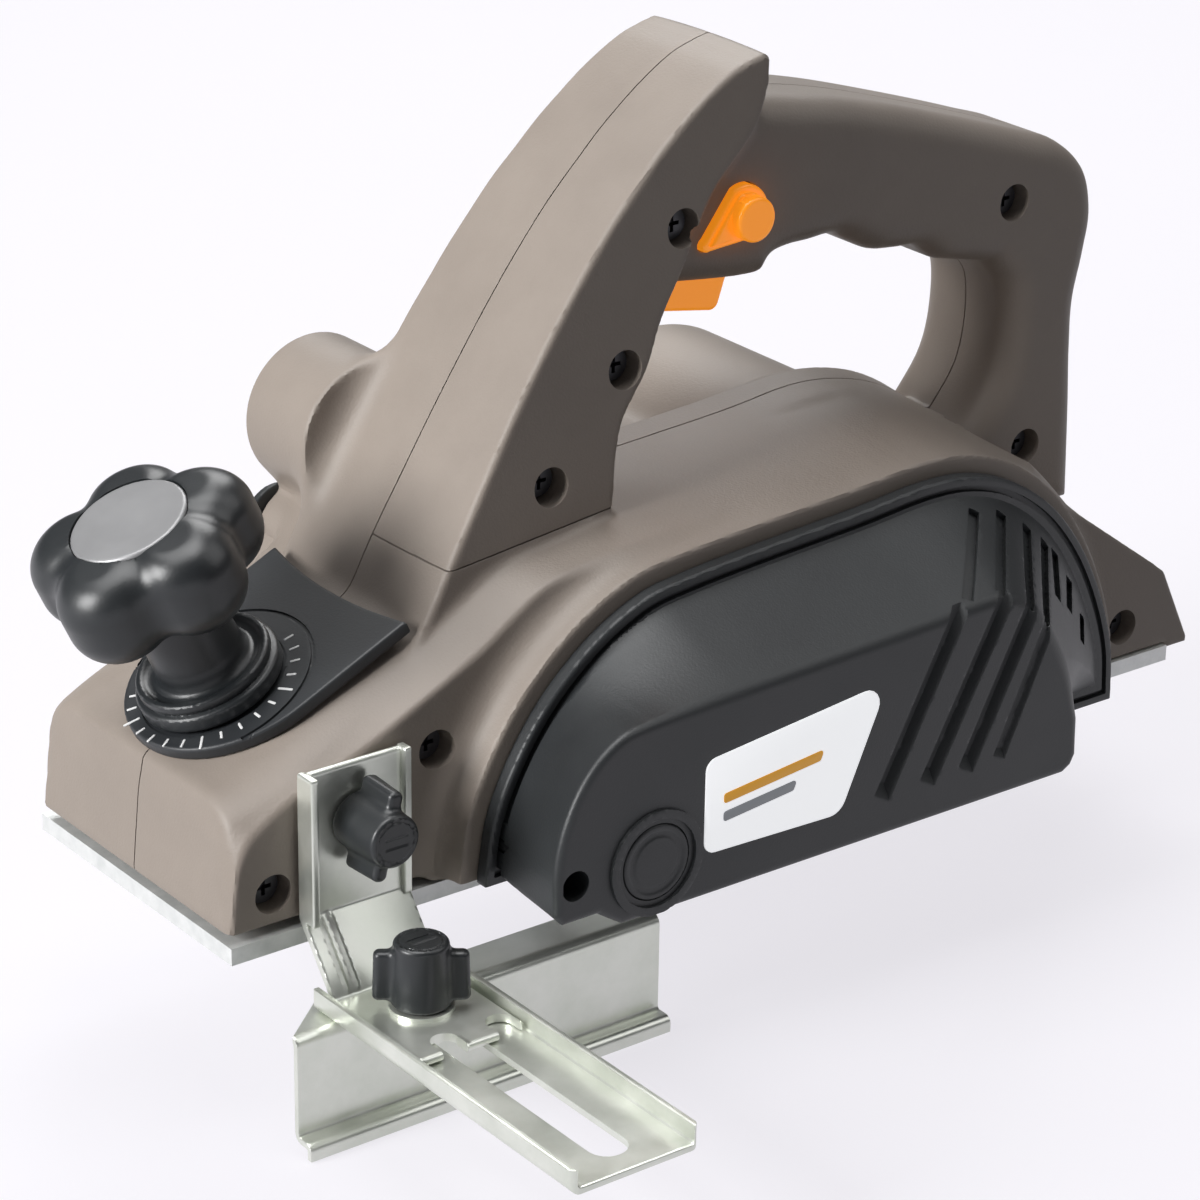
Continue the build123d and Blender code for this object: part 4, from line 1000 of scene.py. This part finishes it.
moulded("fence_bracket_sheet", bracket_field, *box_ids("fence_bracket", 0.8), fine * 0.9, "housing", "zinc",
        zinc_finish, ["fence_bracket"])

slot_low, slot_high, slot_half = 68.75, 138.25, 4.75
arm_path = bend([(96.8, -6.0), (96.8, -11.1), (129.2, -11.1), (129.2, -6.0)], [1.6, 1.6])


def arm_field(x, y, z):
    """Channel-shaped arm with its long slot."""
    sheet = path_distance(x, z, arm_path) - 0.8
    body = round_both(sheet, np.maximum(span(y, 52, 149), z + 6.0), 0.3)
    corner = np.maximum(round_both(np.abs(x - fence_x) - 17, y - 149, 2.5), -20 - z)
    body = np.maximum(body, corner)
    slot = union(disc(x, y, fence_x, slot_low, slot_half), disc(x, y, fence_x, slot_high, slot_half),
                 box3(x, y, z, fence_x - slot_half, fence_x + slot_half, slot_low, slot_high, -20, 0))
    return cut(body, slot)


moulded("fence_arm_channel", arm_field, *box_ids("fence_arm", 0.8), fine * 0.9, "fence", "zinc", zinc_finish,
        ["fence_arm"])

rail_path = bend([(48.0, -12.7), (59.8, -12.7), (59.8, -37.6), (64.8, -37.6), (64.8, -41.0)], [1.8, 1.6, 1.2])


def rail_field(x, y, z):
    """Rail of bent sheet: flange, guiding face and foot, with the flange's front corner clipped."""
    sheet = path_distance(y, z, rail_path) - 0.8
    clipped_corner = 0.64 * (x - 139.8 + 1.2 * (58.5 - y))
    ends = both(span(x, 38, 140), clipped_corner, -40.9 - z)
    return round_both(sheet, ends, 0.3)


moulded("fence_rail_angle", rail_field, *box_ids("fence_rail", 0.8), fine * 0.9, "fence", "zinc", zinc_finish,
        ["fence_rail"])


def wing_knob(across_u, across_v, up, turn):
    """Clamp knob standing on up = 0: a tapered hub with a flat crown and two lower wings."""
    r = np.hypot(across_u, across_v)
    angle = radians(turn)
    out = np.abs(across_u * cos(angle) + across_v * sin(angle))
    side = np.abs(across_v * cos(angle) - across_u * sin(angle))
    hub = round_both(r - 6.9 + 0.035 * up, span(up, 0.0, 15.8), 1.1)
    lean = 0.03 * up
    wing = round_both(round_both(out - 11.1 + lean, side - 2.2 + lean, 1.6), span(up, 1.3, 13.1), 1.2)
    body = blend_union(hub, wing, 1.6)
    body = cut(body, both(np.abs(r - 5.0) - 0.25, 15.5 - up))
    body = cut(body, both(np.abs(np.abs(across_v) - 1.1) - 0.25, r - 3.4, 15.55 - up))
    return cut(body, np.maximum(r - bolt_clearance, up - 10.0))


def side_knob_field(x, y, z):
    return wing_knob(x - fence_x, side_knob_z - z, y - 44.8, 76)


def arm_knob_field(x, y, z):
    return wing_knob(x - fence_x, y - arm_knob_y, z + 6.8, 145)


moulded("side_knob_winged", side_knob_field, *box_ids("side_knob", 1.0), fine * 0.8, "side_knob", "knob",
        knob_finish, ["side_knob"])
moulded("arm_knob_winged", arm_knob_field, *box_ids("arm_knob", 1.0), fine * 0.8, "arm_knob", "knob",
        knob_finish, ["arm_knob"])

# ---- camera, light and floor -----------------------------------------------------------
heading, elevation, roll = radians(-127.47), radians(23.22), radians(0.88)
camera_place = (0.5598, 0.7161, 0.4281)
ahead = Vector((cos(heading) * cos(elevation), sin(heading) * cos(elevation), -sin(elevation)))
right = Vector((sin(heading), -cos(heading), 0))
above = right.cross(ahead)
turned_right = cos(roll) * right + sin(roll) * above
turned_up = -sin(roll) * right + cos(roll) * above
camera_data = bpy.data.cameras.new("camera")
camera_data.lens = 120
camera_data.sensor_width = 36
camera = bpy.data.objects.new("camera", camera_data)
camera.matrix_world = Matrix((
    (turned_right.x, turned_up.x, -ahead.x, camera_place[0]),
    (turned_right.y, turned_up.y, -ahead.y, camera_place[1]),
    (turned_right.z, turned_up.z, -ahead.z, camera_place[2]),
    (0, 0, 0, 1),
))
bpy.context.scene.collection.objects.link(camera)
bpy.context.scene.camera = camera


def softbox(name, place, aim, size, power):
    """White rectangular light at a place in metres, turned towards its aim."""
    data = bpy.data.lights.new(name, "AREA")
    data.shape = "RECTANGLE"
    data.size, data.size_y = size
    data.energy = power
    obj = bpy.data.objects.new(name, data)
    obj.location = place
    obj.rotation_euler = (Vector(aim) - Vector(place)).to_track_quat("-Z", "Y").to_euler()
    bpy.context.scene.collection.objects.link(obj)
    return obj


middle = (0, 0, 0.05)
softbox("key_light", (1.68, -0.15, 0.72), (0, 0, 0.07), (0.8, 0.8), 42)
softbox("top_light", (0.0, 0.12, 1.75), middle, (0.9, 0.9), 7)
softbox("far_light", (-0.7, -0.9, 1.2), middle, (0.9, 0.9), 15)
softbox("low_light", (0.6, 1.4, 0.12), (0.05, 0.06, 0.0), (1.0, 0.3), 0.6)
softbox("sheen_light", (-0.95, 0.85, 1.35), middle, (1.3, 1.3), 9).visible_diffuse = False
softbox("top_sheen_light", (0.45, -0.15, 1.55), middle, (1.3, 1.3), 26).visible_diffuse = False

world = bpy.data.worlds.new("studio")
bpy.context.scene.world = world
world.use_nodes = True
world.node_tree.nodes["Background"].inputs["Color"].default_value = (0.93, 0.92, 0.97, 1)
world.node_tree.nodes["Background"].inputs["Strength"].default_value = 0.10
bpy.context.scene.view_settings.view_transform = "Standard"

floor_mesh = bpy.data.meshes.new("floor")
reach = 6.0
floor_z = cad_box[0].z - 0.0004
floor_mesh.from_pydata([(-reach, -reach, floor_z), (reach, -reach, floor_z), (reach, reach, floor_z),
                        (-reach, reach, floor_z)], [], [(0, 1, 2, 3)])
floor_finish = surface("pale_floor", (0.21, 0.208, 0.215), (0.205, 0.203, 0.21), 0.8, colour_scale=3,
                       grain=60, bump=0.02, specular=0.1)
shader = floor_finish.node_tree.nodes["Principled BSDF"]
shader.inputs["Emission Color"].default_value = (0.95, 0.93, 0.98, 1)
shader.inputs["Emission Strength"].default_value = 0.77
floor_mesh.materials.append(floor_finish)
floor = bpy.data.objects.new("floor", floor_mesh)
floor.visible_diffuse = False
bpy.context.scene.collection.objects.link(floor)
